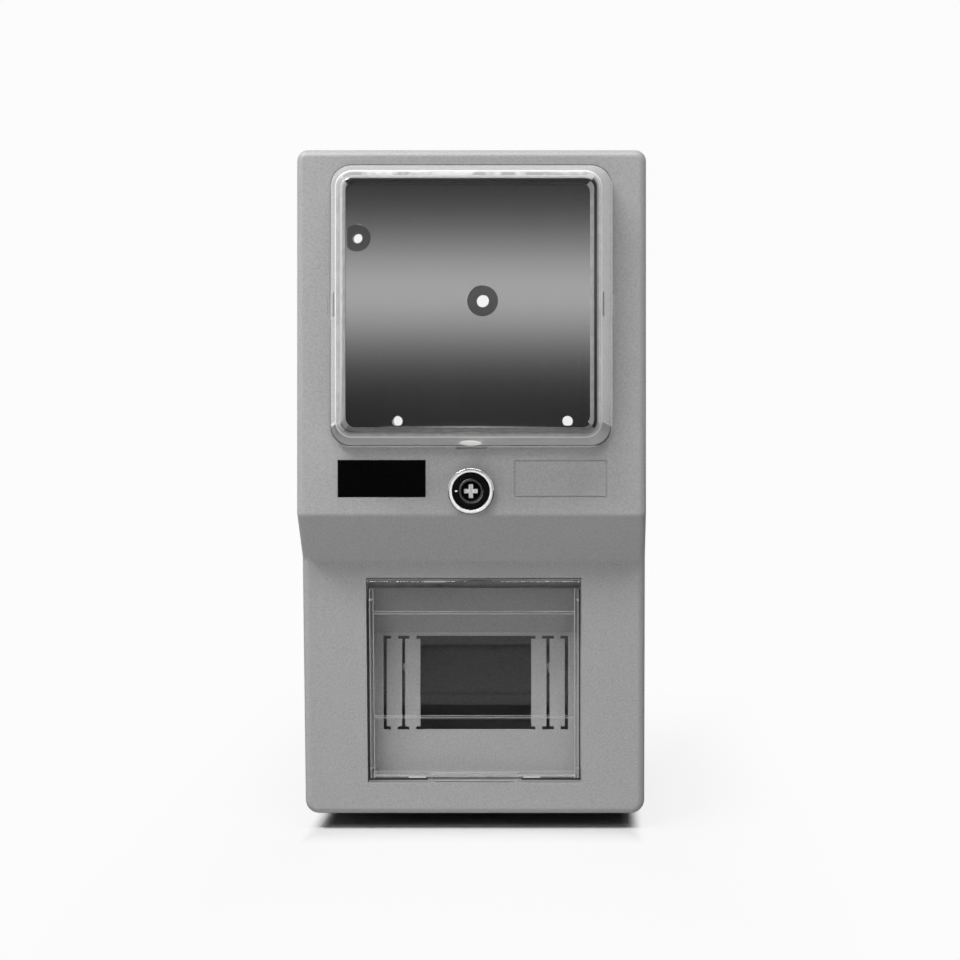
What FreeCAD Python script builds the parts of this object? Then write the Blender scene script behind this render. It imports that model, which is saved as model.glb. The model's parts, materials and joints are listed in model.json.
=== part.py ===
import FreeCAD, Part
import math
import os
import Sketcher

# Electric meter box: a back base on the wall, a stepped front cover that lifts off it, a raised clear
# window over the meter plate and a clear flap over the breaker cut-out.
#
# Frame: +Z up, front towards -Y, origin under the middle of the box. Every piece is drawn with Y as the
# depth behind the cover's upper face, and its Placement then puts that face where it stands.

# Driving dimensions in millimetres.
DIMENSIONS = {
    # case
    "case_width": 160,
    "case_height": 310,
    "case_depth": 106,
    "wall": 2.8,
    "corner_top": 5,
    "corner_bottom": 6.5,
    "edge_round": 3.6,
    "crest_round": 3.6,
    "fold_height": 121,
    "slope_rise": 21.5,
    "fold_round": 5,
    "step_depth": 18,
    "lower_lean": 10.5,
    # lap joint between cover and base
    "base_depth": 36,
    "lap_length": 6,
    "lip_thickness": 1.4,
    "lap_gap": 0.3,
    "gasket_height": 1.5,
    "gasket_clearance": 0.05,
    # meter window
    "window_side_margin": 15.75,
    "window_top_margin": 7.25,
    "window_rise": 31.75,
    "window_draft": 4.25,
    "window_projection": 20,
    "window_corner": 9.5,
    "window_front_corner": 8,
    "window_edge_round": 3,
    "window_inner_round": 2.4,
    "window_thickness": 2.4,
    "window_clearance": 0.3,
    "flange_margin": 3.4,
    "flange_thickness": 2,
    "lug_length": 12,
    "lug_bottom_length": 14.5,
    "lug_reach": 1.2,
    "lug_depth": 2.6,
    # label plate and blank field
    "label_width": 40,
    "label_height": 16.8,
    "label_middle": 40.9,
    "label_rise": 17,
    "label_thickness": 0.5,
    "label_recess": 0.6,
    "label_clearance": 0.2,
    "field_width": 42.3,
    "field_line": 0.45,
    "field_line_depth": 0.3,
    # breaker recess and cut-out
    "recess_width": 100.5,
    "recess_drop": 8.7,
    "recess_bottom": 15,
    "recess_wall": 2.2,
    "recess_floor_depth": 38,
    "slope_foot_gap": 1.7,
    "hinge_pocket_depth": 6,
    "cutout_height": 44.8,
    "cutout_centre": 60.7,
    "cutout_width": 52.8,
    "strip_width": 7.2,
    "slot_width": 1.55,
    "web_width": 3.2,
    "web_height": 1.7,
    # breaker door
    "door_side_gap": 0.6,
    "door_thickness": 1.8,
    "door_setback": 1,
    "door_barrel_radius": 2,
    "door_pin_radius": 1.5,
    "door_pin_clearance": 0.08,
    "door_pin_reach": 1.9,
    "door_axis_drop": 2.9,
    "door_axis_depth": 2.9,
    "door_bottom_gap": 2.3,
    "door_side_depth": 5,
    "door_side_start": 8,
    "door_rib_height": 1.6,
    "door_rib_proud": 0.7,
    "door_rib_margin": 2.6,
    "door_upper_rib_drop": 16.4,
    "door_lower_rib_rise": 31.4,
    "door_tab_width": 43.5,
    "door_tab_taper": 3,
    "door_tab_height": 4.4,
    "door_tab_drop": 1.7,
    "door_tab_proud": 0.9,
    "door_snap_length": 8,
    "door_snap_drop": 0.8,
    "door_snap_middle": 27.4,
    "door_stop_width": 3,
    "door_stop_height": 6,
    "door_stop_gap": 0.4,
    # lock
    "lock_rise": 11.4,
    "bezel_radius": 10.2,
    "bezel_proud": 3,
    "bezel_round": 1.2,
    "dish_radius": 8.65,
    "dish_depth": 2.6,
    "barrel_radius": 8.6,
    "barrel_clearance": 0.2,
    "barrel_length": 16,
    "guide_thickness": 2,
    "guide_clearance": 0.1,
    "guide_running_gap": 0.3,
    "index_length": 1.6,
    "index_width": 1.2,
    "index_height": 0.4,
    "plug_radius": 5.3,
    "plug_clearance": 0.08,
    "plug_setback": 0.8,
    "plug_dish_radius": 4.6,
    "plug_dish_depth": 0.9,
    "cross_half_length": 3.1,
    "cross_arm": 1.95,
    "cross_height": 0.8,
    "shaft_radius": 4,
    "clip_radius": 6.6,
    "clip_groove_radius": 3.4,
    "clip_thickness": 1,
    "clip_gap": 0.2,
    "clip_end_gap": 0.3,
    "nut_flats": 22,
    "nut_thickness": 4,
    "nut_clearance": 0.1,
    "cam_thickness": 2,
    "cam_width": 9,
    "cam_reach": 14.4,
    "cam_square": 5,
    "cam_clearance": 0.1,
    "cam_gap": 0.4,
    "cam_screw_radius": 1.6,
    "cam_screw_head": 3.8,
    "cam_screw_length": 8,
    # keeper
    "keeper_depth": 42.6,
    "keeper_thickness": 1.5,
    "keeper_width": 18,
    "keeper_drop": 7.9,
    "keeper_height": 24,
    "tower_drop": 9,
    "tower_wall": 2.6,
    "tower_cap": 11,
    "keeper_screw_middle": 5,
    "keeper_screw_rise": 7.5,
    # back base
    "back_wall": 3,
    "back_edge_round": 1.5,
    "plate_stand": 3.5,
    "plate_thickness": 1.5,
    "plate_clearance": 3.2,
    "plate_drop": 8.25,
    "plate_corner": 4,
    "wall_hole_radius": 2.55,
    "wall_hole_margin": 16.5,
    "wall_hole_drop": 33,
    "wall_access_radius": 6.9,
    "wall_boss_radius": 9,
    "centre_hole_radius": 3.2,
    "centre_hole_rise": 6.7,
    "centre_access_radius": 7.9,
    "centre_boss_radius": 10.5,
    "lower_hole_radius": 2.65,
    "lower_hole_margin": 36.9,
    "lower_hole_rise": 9.95,
    "lower_boss_radius": 7,
    "plate_screw_margin": 20,
    "plate_screw_rise": 6,
    "plate_screw_boss": 6,
    "hook_length": 10,
    "hook_reach": 4.8,
    "hook_thickness": 2,
    "hook_gap": 0.2,
    "hook_drop": 20,
    "knockout_radius": 13.5,
    "knockout_middle": 35,
    "knockout_groove": 1.2,
    "knockout_web": 0.9,
    # top-hat rail
    "rail_height": 35,
    "rail_hat_height": 27,
    "rail_hat_depth": 7.5,
    "rail_thickness": 1,
    "rail_end_gap": 24,
    "rail_stand": 13,
    "rail_slot_length": 15,
    "rail_slot_width": 6.2,
    "rail_slot_round": 2.8,
    "rail_slot_middle": 36,
    "rail_post_width": 18,
    "rail_post_height": 22,
    # self-tapping screws of plate, rail and keeper
    "screw_radius": 1.9,
    "screw_head_radius": 3.6,
    "screw_head_height": 2.2,
    "screw_head_round": 0.9,
    "screw_hold": 4,
    "screw_clearance": 0.3,
    "screw_pilot_clearance": 0.05,
}

doc = FreeCAD.newDocument("meter_box")
sheet = doc.addObject("Spreadsheet::Sheet", "dim")
for row, (alias, size) in enumerate(DIMENSIONS.items(), start=1):
    sheet.set(f"A{row}", alias)
    sheet.set(f"B{row}", str(size))
    sheet.setAlias(f"B{row}", alias)
doc.recompute()

# Places, depths and angles that several pieces share, as expressions in the sheet's names.
FACE_PLACE = "(dim.window_projection - dim.case_depth) / 2"
HALF_WIDTH = "dim.case_width / 2"
CREST = "(dim.fold_height + dim.slope_rise)"
SLOPE_ANGLE = "atan(dim.step_depth / dim.slope_rise)"
LEAN_ANGLE = "atan(dim.lower_lean / dim.fold_height)"
BISECTOR = f"(({SLOPE_ANGLE} + {LEAN_ANGLE}) / 2)"
HALF_TURN = f"(({SLOPE_ANGLE} - {LEAN_ANGLE}) / 2)"

WINDOW_SIDE = f"({HALF_WIDTH} - dim.window_side_margin)"
WINDOW_LOW = f"({CREST} + dim.window_rise)"
WINDOW_HIGH = "(dim.case_height - dim.window_top_margin)"
WINDOW_MIDDLE = f"(({WINDOW_LOW} + {WINDOW_HIGH}) / 2)"
LABEL_HEIGHT = f"({CREST} + dim.label_rise)"

PARTING = "(dim.case_depth - dim.base_depth)"
LAP_START = f"({PARTING} - dim.lap_length)"
TONGUE_INSET = "(dim.lip_thickness + dim.lap_gap)"
TONGUE_TIP = f"({LAP_START} + dim.gasket_height + dim.lap_gap)"
BASE_RIM = f"({PARTING} + dim.lap_gap)"
BACK_INSIDE = "(dim.case_depth - dim.back_wall)"

PLATE_BACK = f"({BACK_INSIDE} - dim.plate_stand)"
PLATE_FRONT = f"({PLATE_BACK} - dim.plate_thickness)"
PLATE_LOW = f"({WINDOW_LOW} - dim.plate_drop)"
WALL_HOLE_SIDE = f"({HALF_WIDTH} - dim.wall_hole_margin)"
WALL_HOLE_HEIGHT = "(dim.case_height - dim.wall_hole_drop)"
CENTRE_HOLE_HEIGHT = f"({WINDOW_MIDDLE} + dim.centre_hole_rise)"
LOWER_HOLE_SIDE = f"({HALF_WIDTH} - dim.lower_hole_margin)"
LOWER_HOLE_HEIGHT = f"({WINDOW_LOW} + dim.lower_hole_rise)"
PLATE_SCREW_SIDE = f"({HALF_WIDTH} - dim.plate_screw_margin)"
PLATE_SCREW_HEIGHT = f"({PLATE_LOW} + dim.plate_screw_rise)"
RAIL_BACK = f"({BACK_INSIDE} - dim.rail_stand)"
RAIL_FRONT = f"({RAIL_BACK} - dim.rail_hat_depth)"

LOCK_HEIGHT = f"({CREST} + dim.lock_rise)"
DISH_FLOOR = "(dim.dish_depth - dim.bezel_proud)"
KEEPER_BACK = "(dim.keeper_depth + dim.keeper_thickness)"
KEEPER_HIGH = f"({LOCK_HEIGHT} - dim.keeper_drop)"
KEEPER_LOW = f"({KEEPER_HIGH} - dim.keeper_height)"
KEEPER_SCREW_HEIGHT = f"({KEEPER_LOW} + dim.keeper_screw_rise)"
TOWER_TOP = f"({KEEPER_HIGH} - dim.tower_drop)"
CAM_FRONT = f"({KEEPER_BACK} + dim.cam_gap)"
CAM_BACK = f"({CAM_FRONT} + dim.cam_thickness)"

RECESS_TOP = "(dim.fold_height - dim.recess_drop)"
CUTOUT_LOW = "(dim.cutout_centre - dim.cutout_height / 2)"
CUTOUT_HIGH = "(dim.cutout_centre + dim.cutout_height / 2)"
SLOPE_FOOT = f"({CUTOUT_HIGH} + dim.slope_foot_gap)"
SLOT_1 = "(dim.cutout_width / 2 + dim.strip_width)"
SLOT_2 = f"({SLOT_1} + dim.slot_width + dim.strip_width)"


def lower_face(height):
    """Depth of the leaning lower face at a height."""
    return f"(dim.step_depth + dim.lower_lean * (1 - ({height}) / dim.fold_height))"


DOOR_AXIS_HEIGHT = f"({RECESS_TOP} - dim.door_axis_drop)"
DOOR_AXIS_DEPTH = f"({lower_face(DOOR_AXIS_HEIGHT)} + dim.door_axis_depth)"


def number(expression):
    """What an expression in the sheet's names comes to."""
    result = sheet.evalExpression(expression)
    return float(getattr(result, "Value", result))


# Sketches: the three views are front (X, Z), side (depth, Z) and plan (X, depth).
def new_sketch(body, name, role, offset):
    sketch = body.newObject("Sketcher::SketchObject", name)
    plane = next(item for item in body.Origin.OriginFeatures if item.Role == role)
    sketch.AttachmentSupport = [(plane, "")]
    sketch.MapMode = "FlatFace"
    sketch.setExpression("AttachmentOffset.Base.z", offset)
    return sketch


def front_view(body, name, depth):
    return new_sketch(body, name, "XZ_Plane", f"-({depth})")


def side_view(body, name):
    return new_sketch(body, name, "YZ_Plane", "0")


def plan_view(body, name, height):
    return new_sketch(body, name, "XY_Plane", height)


def bind(sketch, kind, target, expression):
    """Add a dimension to a point or curve of a sketch and tie it to the sheet."""
    constraint = Sketcher.Constraint(kind, *target, number(expression))
    index = sketch.addConstraint(constraint)
    sketch.setExpression(f"Constraints[{index}]", expression)


def bind_point(sketch, point, across, up):
    bind(sketch, "DistanceX", point, across)
    bind(sketch, "DistanceY", point, up)


def polygon(sketch, corners):
    """Closed outline of straight lines through corners given as pairs of expressions."""
    points = [FreeCAD.Vector(number(across), number(up), 0) for across, up in corners]
    first = sketch.GeometryCount
    following = points[1:] + points[:1]
    for start, end in zip(points, following):
        sketch.addGeometry(Part.LineSegment(start, end))
    for index, (across, up) in enumerate(corners):
        before = first + (index - 1) % len(corners)
        sketch.addConstraint(Sketcher.Constraint("Coincident", before, 2, first + index, 1))
        bind_point(sketch, (first + index, 1), across, up)


def rectangle(sketch, left, right, low, high):
    polygon(sketch, [(left, low), (right, low), (right, high), (left, high)])


def circle(sketch, across, up, radius):
    centre = FreeCAD.Vector(number(across), number(up), 0)
    index = sketch.addGeometry(Part.Circle(centre, FreeCAD.Vector(0, 0, 1), number(radius)))
    bind_point(sketch, (index, 3), across, up)
    bind(sketch, "Radius", (index,), radius)


def rounded_rectangle(sketch, left, right, low, high, low_radius, high_radius):
    """Closed outline of four lines and four tangent arcs."""
    first = sketch.GeometryCount
    x_low, x_high = number(left), number(right)
    z_low, z_high = number(low), number(high)
    r_low, r_high = number(low_radius), number(high_radius)
    rounds = [
        (x_high - r_low, z_low + r_low, r_low, low_radius),
        (x_high - r_high, z_high - r_high, r_high, high_radius),
        (x_low + r_high, z_high - r_high, r_high, high_radius),
        (x_low + r_low, z_low + r_low, r_low, low_radius),
    ]
    quarter = math.pi / 2
    arcs = []
    for turn, (centre_x, centre_z, radius, _) in enumerate(rounds):
        centre = FreeCAD.Vector(centre_x, centre_z, 0)
        full = Part.Circle(centre, FreeCAD.Vector(0, 0, 1), radius)
        arcs.append(Part.ArcOfCircle(full, (turn - 1) * quarter, turn * quarter))
    for index, arc in enumerate(arcs):
        sketch.addGeometry(arc)
        sketch.addGeometry(Part.LineSegment(arc.EndPoint, arcs[(index + 1) % 4].StartPoint))
    for index in range(4):
        arc_index = first + 2 * index
        next_arc = first + 2 * ((index + 1) % 4)
        sketch.addConstraint(Sketcher.Constraint("Tangent", arc_index, 2, arc_index + 1, 1))
        sketch.addConstraint(Sketcher.Constraint("Tangent", arc_index + 1, 2, next_arc, 1))
        bind(sketch, "Radius", (arc_index,), rounds[index][3])
    for index, direction in enumerate(("Vertical", "Horizontal", "Vertical", "Horizontal")):
        sketch.addConstraint(Sketcher.Constraint(direction, first + 2 * index + 1))
    bind(sketch, "DistanceX", (first + 1, 1), right)
    bind(sketch, "DistanceY", (first + 3, 1), high)
    bind(sketch, "DistanceX", (first + 5, 1), left)
    bind(sketch, "DistanceY", (first + 7, 1), low)


def case_outline(sketch, inset):
    """Outline of the case, moved inwards by an inset."""
    rounded_rectangle(
        sketch,
        f"{inset} - {HALF_WIDTH}", f"{HALF_WIDTH} - {inset}",
        inset, f"dim.case_height - {inset}",
        f"dim.corner_bottom - {inset}", f"dim.corner_top - {inset}",
    )


def window_outline(sketch, inset, corner):
    """Outline of the meter window at the cover's face, moved inwards by an inset."""
    rounded_rectangle(
        sketch,
        f"{inset} - {WINDOW_SIDE}", f"{WINDOW_SIDE} - ({inset})",
        f"{WINDOW_LOW} + {inset}", f"{WINDOW_HIGH} - ({inset})",
        corner, corner,
    )


# Features.
def new_body(label):
    body = doc.addObject("PartDesign::Body", label)
    body.Label = label
    return body


def place(body, across="0", depth="0", height="0"):
    """Set a body's Placement from the sheet, with depth counted from the upper face."""
    body.setExpression("Placement.Base.x", across)
    body.setExpression("Placement.Base.y", f"{FACE_PLACE} + {depth}")
    body.setExpression("Placement.Base.z", height)


def settle(body, feature, adds):
    """Recompute a feature and make sure that it added or removed material."""
    earlier = body.Tip.Shape.Volume if body.Tip else 0
    body.Tip = feature
    doc.recompute()
    change = feature.Shape.Volume - earlier
    if (change > 0) != adds or change == 0:
        raise RuntimeError(f"{body.Label} {feature.Label} changes the volume by {change}")


def extrude(body, kind, name, sketch, length, symmetric=False, reverse=False):
    earlier_tip = body.Tip
    feature = body.newObject(f"PartDesign::{kind}", name)
    body.Tip = earlier_tip
    feature.Profile = sketch
    feature.setExpression("Length", length)
    feature.Reversed = reverse
    if symmetric:
        feature.SideType = "Symmetric"
    settle(body, feature, kind == "Pad")
    return feature


def loft(body, kind, name, first, last):
    earlier_tip = body.Tip
    feature = body.newObject(f"PartDesign::{kind}Loft", name)
    body.Tip = earlier_tip
    feature.Profile = first
    feature.Sections = [last]
    feature.Ruled = True
    settle(body, feature, kind == "Additive")


def revolve(body, name, sketch):
    feature = body.newObject("PartDesign::Revolution", name)
    feature.Profile = sketch
    feature.ReferenceAxis = (sketch, ["V_Axis"])
    feature.Angle = 360
    body.Tip = feature
    doc.recompute()


def round_edges(body, name, radius, chosen):
    """Fillet the edges of a body whose bounding boxes are chosen."""
    base = body.Tip
    names = [f"Edge{n}" for n, edge in enumerate(base.Shape.Edges, start=1) if chosen(edge.BoundBox)]
    feature = body.newObject("PartDesign::Fillet", name)
    feature.Base = (base, names)
    feature.setExpression("Radius", radius)
    body.Tip = feature
    doc.recompute()


# Choosing edges by their bounding boxes, in mm.
TOUCH = 0.05
LONG_EDGE = 10


def near(value, expression):
    return abs(value - number(expression)) < TOUCH


def runs_across(box):
    return box.XLength > LONG_EDGE and box.YLength < TOUCH and box.ZLength < TOUCH


def runs_deep(box):
    return box.YLength > LONG_EDGE and box.XLength < TOUCH and box.ZLength < TOUCH


POCKET_BACK = f"({lower_face(RECESS_TOP)} + dim.hinge_pocket_depth)"
TUB_TOP = f"({RECESS_TOP} + dim.recess_wall)"
TUB_BOTTOM = "(dim.recess_bottom - dim.recess_wall)"
TUB_BACK = "(dim.recess_floor_depth + dim.recess_wall)"
STOP_DEPTH = (
    f"({lower_face('dim.recess_bottom')} + dim.door_setback + dim.door_thickness"
    " + dim.door_side_depth + dim.door_stop_gap)"
)


def cover_shell(body):
    """Stepped outer form of the cover with rounded edges, hollowed to an even wall."""
    profile = side_view(body, "cover_profile")
    polygon(profile, [
        (PARTING, "0"),
        (PARTING, "dim.case_height"),
        ("0", "dim.case_height"),
        ("0", CREST),
        ("dim.step_depth", "dim.fold_height"),
        (lower_face("0"), "0"),
    ])
    extrude(body, "Pad", "cover_block", profile, "dim.case_width", symmetric=True)
    round_edges(body, "crest", "dim.crest_round",
                lambda box: runs_across(box) and near(box.YMin, "0") and near(box.ZMin, CREST))
    round_edges(body, "fold", "dim.fold_round",
                lambda box: runs_across(box) and near(box.ZMin, "dim.fold_height"))
    round_edges(body, "top_corners", "dim.corner_top",
                lambda box: runs_deep(box) and near(box.ZMin, "dim.case_height"))
    round_edges(body, "bottom_corners", "dim.corner_bottom",
                lambda box: runs_deep(box) and near(box.ZMin, "0"))
    round_edges(body, "front_edge", "dim.edge_round",
                lambda box: runs_across(box) and near(box.YMin, "0") and near(box.ZMin, "dim.case_height"))
    inside = side_view(body, "cover_inside")
    polygon(inside, [
        (PARTING, "dim.wall"),
        (PARTING, "dim.case_height - dim.wall"),
        ("dim.wall", "dim.case_height - dim.wall"),
        ("dim.wall", f"{CREST} - dim.wall * tan({SLOPE_ANGLE} / 2)"),
        (f"dim.step_depth + dim.wall * cos({BISECTOR}) / cos({HALF_TURN})",
         f"dim.fold_height - dim.wall * sin({BISECTOR}) / cos({HALF_TURN})"),
        (f"{lower_face('dim.wall')} + dim.wall / cos({LEAN_ANGLE})", "dim.wall"),
    ])
    extrude(body, "Pocket", "cover_cavity", inside, "dim.case_width - 2 * dim.wall", symmetric=True)
    round_edges(body, "inner_top_corners", "dim.corner_top - dim.wall",
                lambda box: runs_deep(box) and near(box.ZMin, "dim.case_height - dim.wall"))
    round_edges(body, "inner_bottom_corners", "dim.corner_bottom - dim.wall",
                lambda box: runs_deep(box) and near(box.ZMin, "dim.wall"))
    rebate = front_view(body, "rim_rebate_outline", PARTING)
    case_outline(rebate, "dim.lip_thickness")
    extrude(body, "Pocket", "rim_rebate", rebate, "dim.lap_length", reverse=True)


def cover_recess(body):
    """Breaker recess: a tub behind the lower face, with a sloped top wall and a flat floor."""
    tub = side_view(body, "tub_profile")
    polygon(tub, [
        (f"{lower_face(TUB_BOTTOM)} + dim.wall / 2", TUB_BOTTOM),
        (TUB_BACK, TUB_BOTTOM),
        (TUB_BACK, f"{SLOPE_FOOT} + dim.recess_wall"),
        (f"{POCKET_BACK} + dim.recess_wall", TUB_TOP),
        (f"{lower_face(TUB_TOP)} + dim.wall / 2", TUB_TOP),
    ])
    extrude(body, "Pad", "tub", tub, "dim.recess_width + 2 * dim.recess_wall", symmetric=True)
    recess = side_view(body, "recess_profile")
    polygon(recess, [
        ("0", "dim.recess_bottom"),
        ("dim.recess_floor_depth", "dim.recess_bottom"),
        ("dim.recess_floor_depth", SLOPE_FOOT),
        (POCKET_BACK, RECESS_TOP),
        ("0", RECESS_TOP),
    ])
    extrude(body, "Pocket", "recess", recess, "dim.recess_width", symmetric=True)
    stops = front_view(body, "door_stop_outline", "dim.recess_floor_depth")
    for side in ("-", ""):
        near_edge = f"{side}(dim.recess_width / 2 - dim.door_stop_width)"
        far_edge = f"{side}(dim.recess_width + dim.recess_wall) / 2"
        rectangle(stops, near_edge, far_edge, "dim.recess_bottom", "dim.recess_bottom + dim.door_stop_height")
    extrude(body, "Pad", "door_stops", stops, f"dim.recess_floor_depth - {STOP_DEPTH}")
    hinge = side_view(body, "hinge_hole_outline")
    circle(hinge, DOOR_AXIS_DEPTH, DOOR_AXIS_HEIGHT, "dim.door_pin_radius + dim.door_pin_clearance")
    extrude(body, "Pocket", "hinge_holes", hinge, "dim.recess_width + 4 * dim.recess_wall", symmetric=True)


def necked_slot(left, right, left_tee, right_tee):
    """Corners of a slot of the cut-out; beside a strip's webs it widens to the tee at both ends."""
    low_neck = f"({CUTOUT_LOW} + dim.web_height)"
    high_neck = f"({CUTOUT_HIGH} - dim.web_height)"
    corners = [(left_tee, CUTOUT_LOW), (right_tee, CUTOUT_LOW)]
    if right_tee != right:
        corners += [(right_tee, low_neck), (right, low_neck), (right, high_neck), (right_tee, high_neck)]
    corners += [(right_tee, CUTOUT_HIGH), (left_tee, CUTOUT_HIGH)]
    corners += [(left_tee, high_neck), (left, high_neck), (left, low_neck), (left_tee, low_neck)]
    return corners


def cover_cutout(body):
    """Breaker cut-out: the open middle and, on each side, two break-off strips held by thin webs."""
    tee = "(dim.strip_width - dim.web_width) / 2"
    half = "(dim.cutout_width / 2)"
    outline = front_view(body, "cutout_outline", "dim.recess_floor_depth")
    polygon(outline, necked_slot(f"-{half}", half, f"-({half} + {tee})", f"{half} + {tee}"))
    for side in ("-", ""):
        inner_end = f"{side}({SLOT_1} + dim.slot_width)"
        outer_end = f"{side}({SLOT_2} + dim.slot_width)"
        polygon(outline, necked_slot(f"{side}{SLOT_1}", inner_end, f"{side}({SLOT_1} - {tee})",
                                     f"{side}({SLOT_1} + dim.slot_width + {tee})"))
        polygon(outline, necked_slot(f"{side}{SLOT_2}", outer_end, f"{side}({SLOT_2} - {tee})", outer_end))
    extrude(body, "Pocket", "cutout", outline, "2 * dim.recess_wall")


def cover_openings(body):
    """Openings and marks of the upper face: window, lock, label recess and the outlined blank field."""
    window = front_view(body, "window_opening_outline", "0")
    window_outline(window, "-dim.window_clearance", "dim.window_corner + dim.window_clearance")
    circle(window, "0", LOCK_HEIGHT, "dim.barrel_radius + dim.barrel_clearance")
    extrude(body, "Pocket", "face_openings", window, "2 * dim.wall")
    label = front_view(body, "label_recess_outline", "0")
    half_width = "(dim.label_width / 2 + dim.label_clearance)"
    half_height = "(dim.label_height / 2 + dim.label_clearance)"
    rectangle(label, f"-dim.label_middle - {half_width}", f"-dim.label_middle + {half_width}",
              f"{LABEL_HEIGHT} - {half_height}", f"{LABEL_HEIGHT} + {half_height}")
    extrude(body, "Pocket", "label_recess", label, "dim.label_recess")
    field = front_view(body, "field_outline", "0")
    for inset in ("0", "dim.field_line"):
        rectangle(field, f"dim.label_middle - dim.field_width / 2 + {inset}",
                  f"dim.label_middle + dim.field_width / 2 - {inset}",
                  f"{LABEL_HEIGHT} - dim.label_height / 2 + {inset}",
                  f"{LABEL_HEIGHT} + dim.label_height / 2 - {inset}")
    extrude(body, "Pocket", "field_line", field, "dim.field_line_depth")


def make_front_cover():
    body = new_body("front_cover")
    cover_shell(body)
    cover_recess(body)
    cover_cutout(body)
    cover_openings(body)
    place(body)


def make_cover_gasket():
    """Soft strip bonded in the cover's rebate, pressed by the base's tongue."""
    body = new_body("cover_gasket")
    ring = front_view(body, "gasket_outline", LAP_START)
    case_outline(ring, "(dim.lip_thickness + dim.gasket_clearance)")
    case_outline(ring, "(dim.wall - dim.gasket_clearance)")
    extrude(body, "Pad", "gasket", ring, "dim.gasket_height", reverse=True)
    place(body)


def make_meter_window():
    """Raised clear cover: drafted skirt with a rounded front, a flange behind the wall and snap lugs."""
    body = new_body("meter_window")
    flange_back = "(dim.wall + dim.flange_thickness)"
    front = "-dim.window_projection"
    neck = front_view(body, "neck_outline", flange_back)
    window_outline(neck, "0", "dim.window_corner")
    extrude(body, "Pad", "neck", neck, flange_back)
    skirt_rear = front_view(body, "skirt_rear_outline", "0")
    window_outline(skirt_rear, "0", "dim.window_corner")
    skirt_front = front_view(body, "skirt_front_outline", front)
    window_outline(skirt_front, "dim.window_draft", "dim.window_front_corner")
    loft(body, "Additive", "skirt", skirt_rear, skirt_front)
    round_edges(body, "front_shoulder", "dim.window_edge_round",
                lambda box: runs_across(box) and near(box.YMin, front))
    flange = front_view(body, "flange_outline", flange_back)
    window_outline(flange, "-dim.flange_margin", "dim.window_corner + dim.flange_margin")
    extrude(body, "Pad", "flange", flange, "dim.flange_thickness")
    lugs = front_view(body, "lug_outline", "-dim.window_clearance")
    root = f"({WINDOW_SIDE} - dim.window_thickness)"
    tip = f"({WINDOW_SIDE} + dim.lug_reach)"
    low = f"{WINDOW_MIDDLE} - dim.lug_length / 2"
    high = f"{WINDOW_MIDDLE} + dim.lug_length / 2"
    rectangle(lugs, f"-{tip}", f"-{root}", low, high)
    rectangle(lugs, root, tip, low, high)
    rectangle(lugs, "-dim.lug_bottom_length / 2", "dim.lug_bottom_length / 2",
              f"{WINDOW_LOW} - dim.lug_reach", f"{WINDOW_LOW} + dim.window_thickness")
    extrude(body, "Pad", "lugs", lugs, "dim.lug_depth")
    hollow_rear = front_view(body, "hollow_rear_outline", flange_back)
    window_outline(hollow_rear, "dim.window_thickness", "dim.window_corner - dim.window_thickness")
    hollow_front = front_view(body, "hollow_front_outline", f"{front} + dim.window_thickness")
    window_outline(hollow_front, "(dim.window_draft + dim.window_thickness)",
                   "dim.window_front_corner - dim.window_thickness")
    loft(body, "Subtractive", "hollow", hollow_rear, hollow_front)
    round_edges(body, "inner_shoulder", "dim.window_inner_round",
                lambda box: runs_across(box) and near(box.YMin, f"{front} + dim.window_thickness"))
    place(body)


def make_label_plate():
    body = new_body("label_plate")
    outline = front_view(body, "label_outline", "dim.label_recess")
    rectangle(outline, "-dim.label_width / 2", "dim.label_width / 2",
              "-dim.label_height / 2", "dim.label_height / 2")
    extrude(body, "Pad", "label", outline, "dim.label_thickness")
    place(body, across="-dim.label_middle", height=LABEL_HEIGHT)


def base_tray(body):
    """Tray with rounded back edges, a tongue inside the cover's lip and an even wall."""
    tray = front_view(body, "tray_outline", "dim.case_depth")
    case_outline(tray, "0")
    extrude(body, "Pad", "tray", tray, f"dim.case_depth - {BASE_RIM}")
    round_edges(body, "back_edge", "dim.back_edge_round",
                lambda box: runs_across(box) and near(box.YMin, "dim.case_depth") and near(box.ZMin, "0"))
    tongue = front_view(body, "tongue_outline", f"{BASE_RIM} + dim.wall")
    case_outline(tongue, TONGUE_INSET)
    extrude(body, "Pad", "tongue", tongue, f"{BASE_RIM} + dim.wall - {TONGUE_TIP}")
    cavity = front_view(body, "cavity_outline", TONGUE_TIP)
    case_outline(cavity, "dim.wall")
    extrude(body, "Pocket", "cavity", cavity, f"{BACK_INSIDE} - {TONGUE_TIP}")


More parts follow.
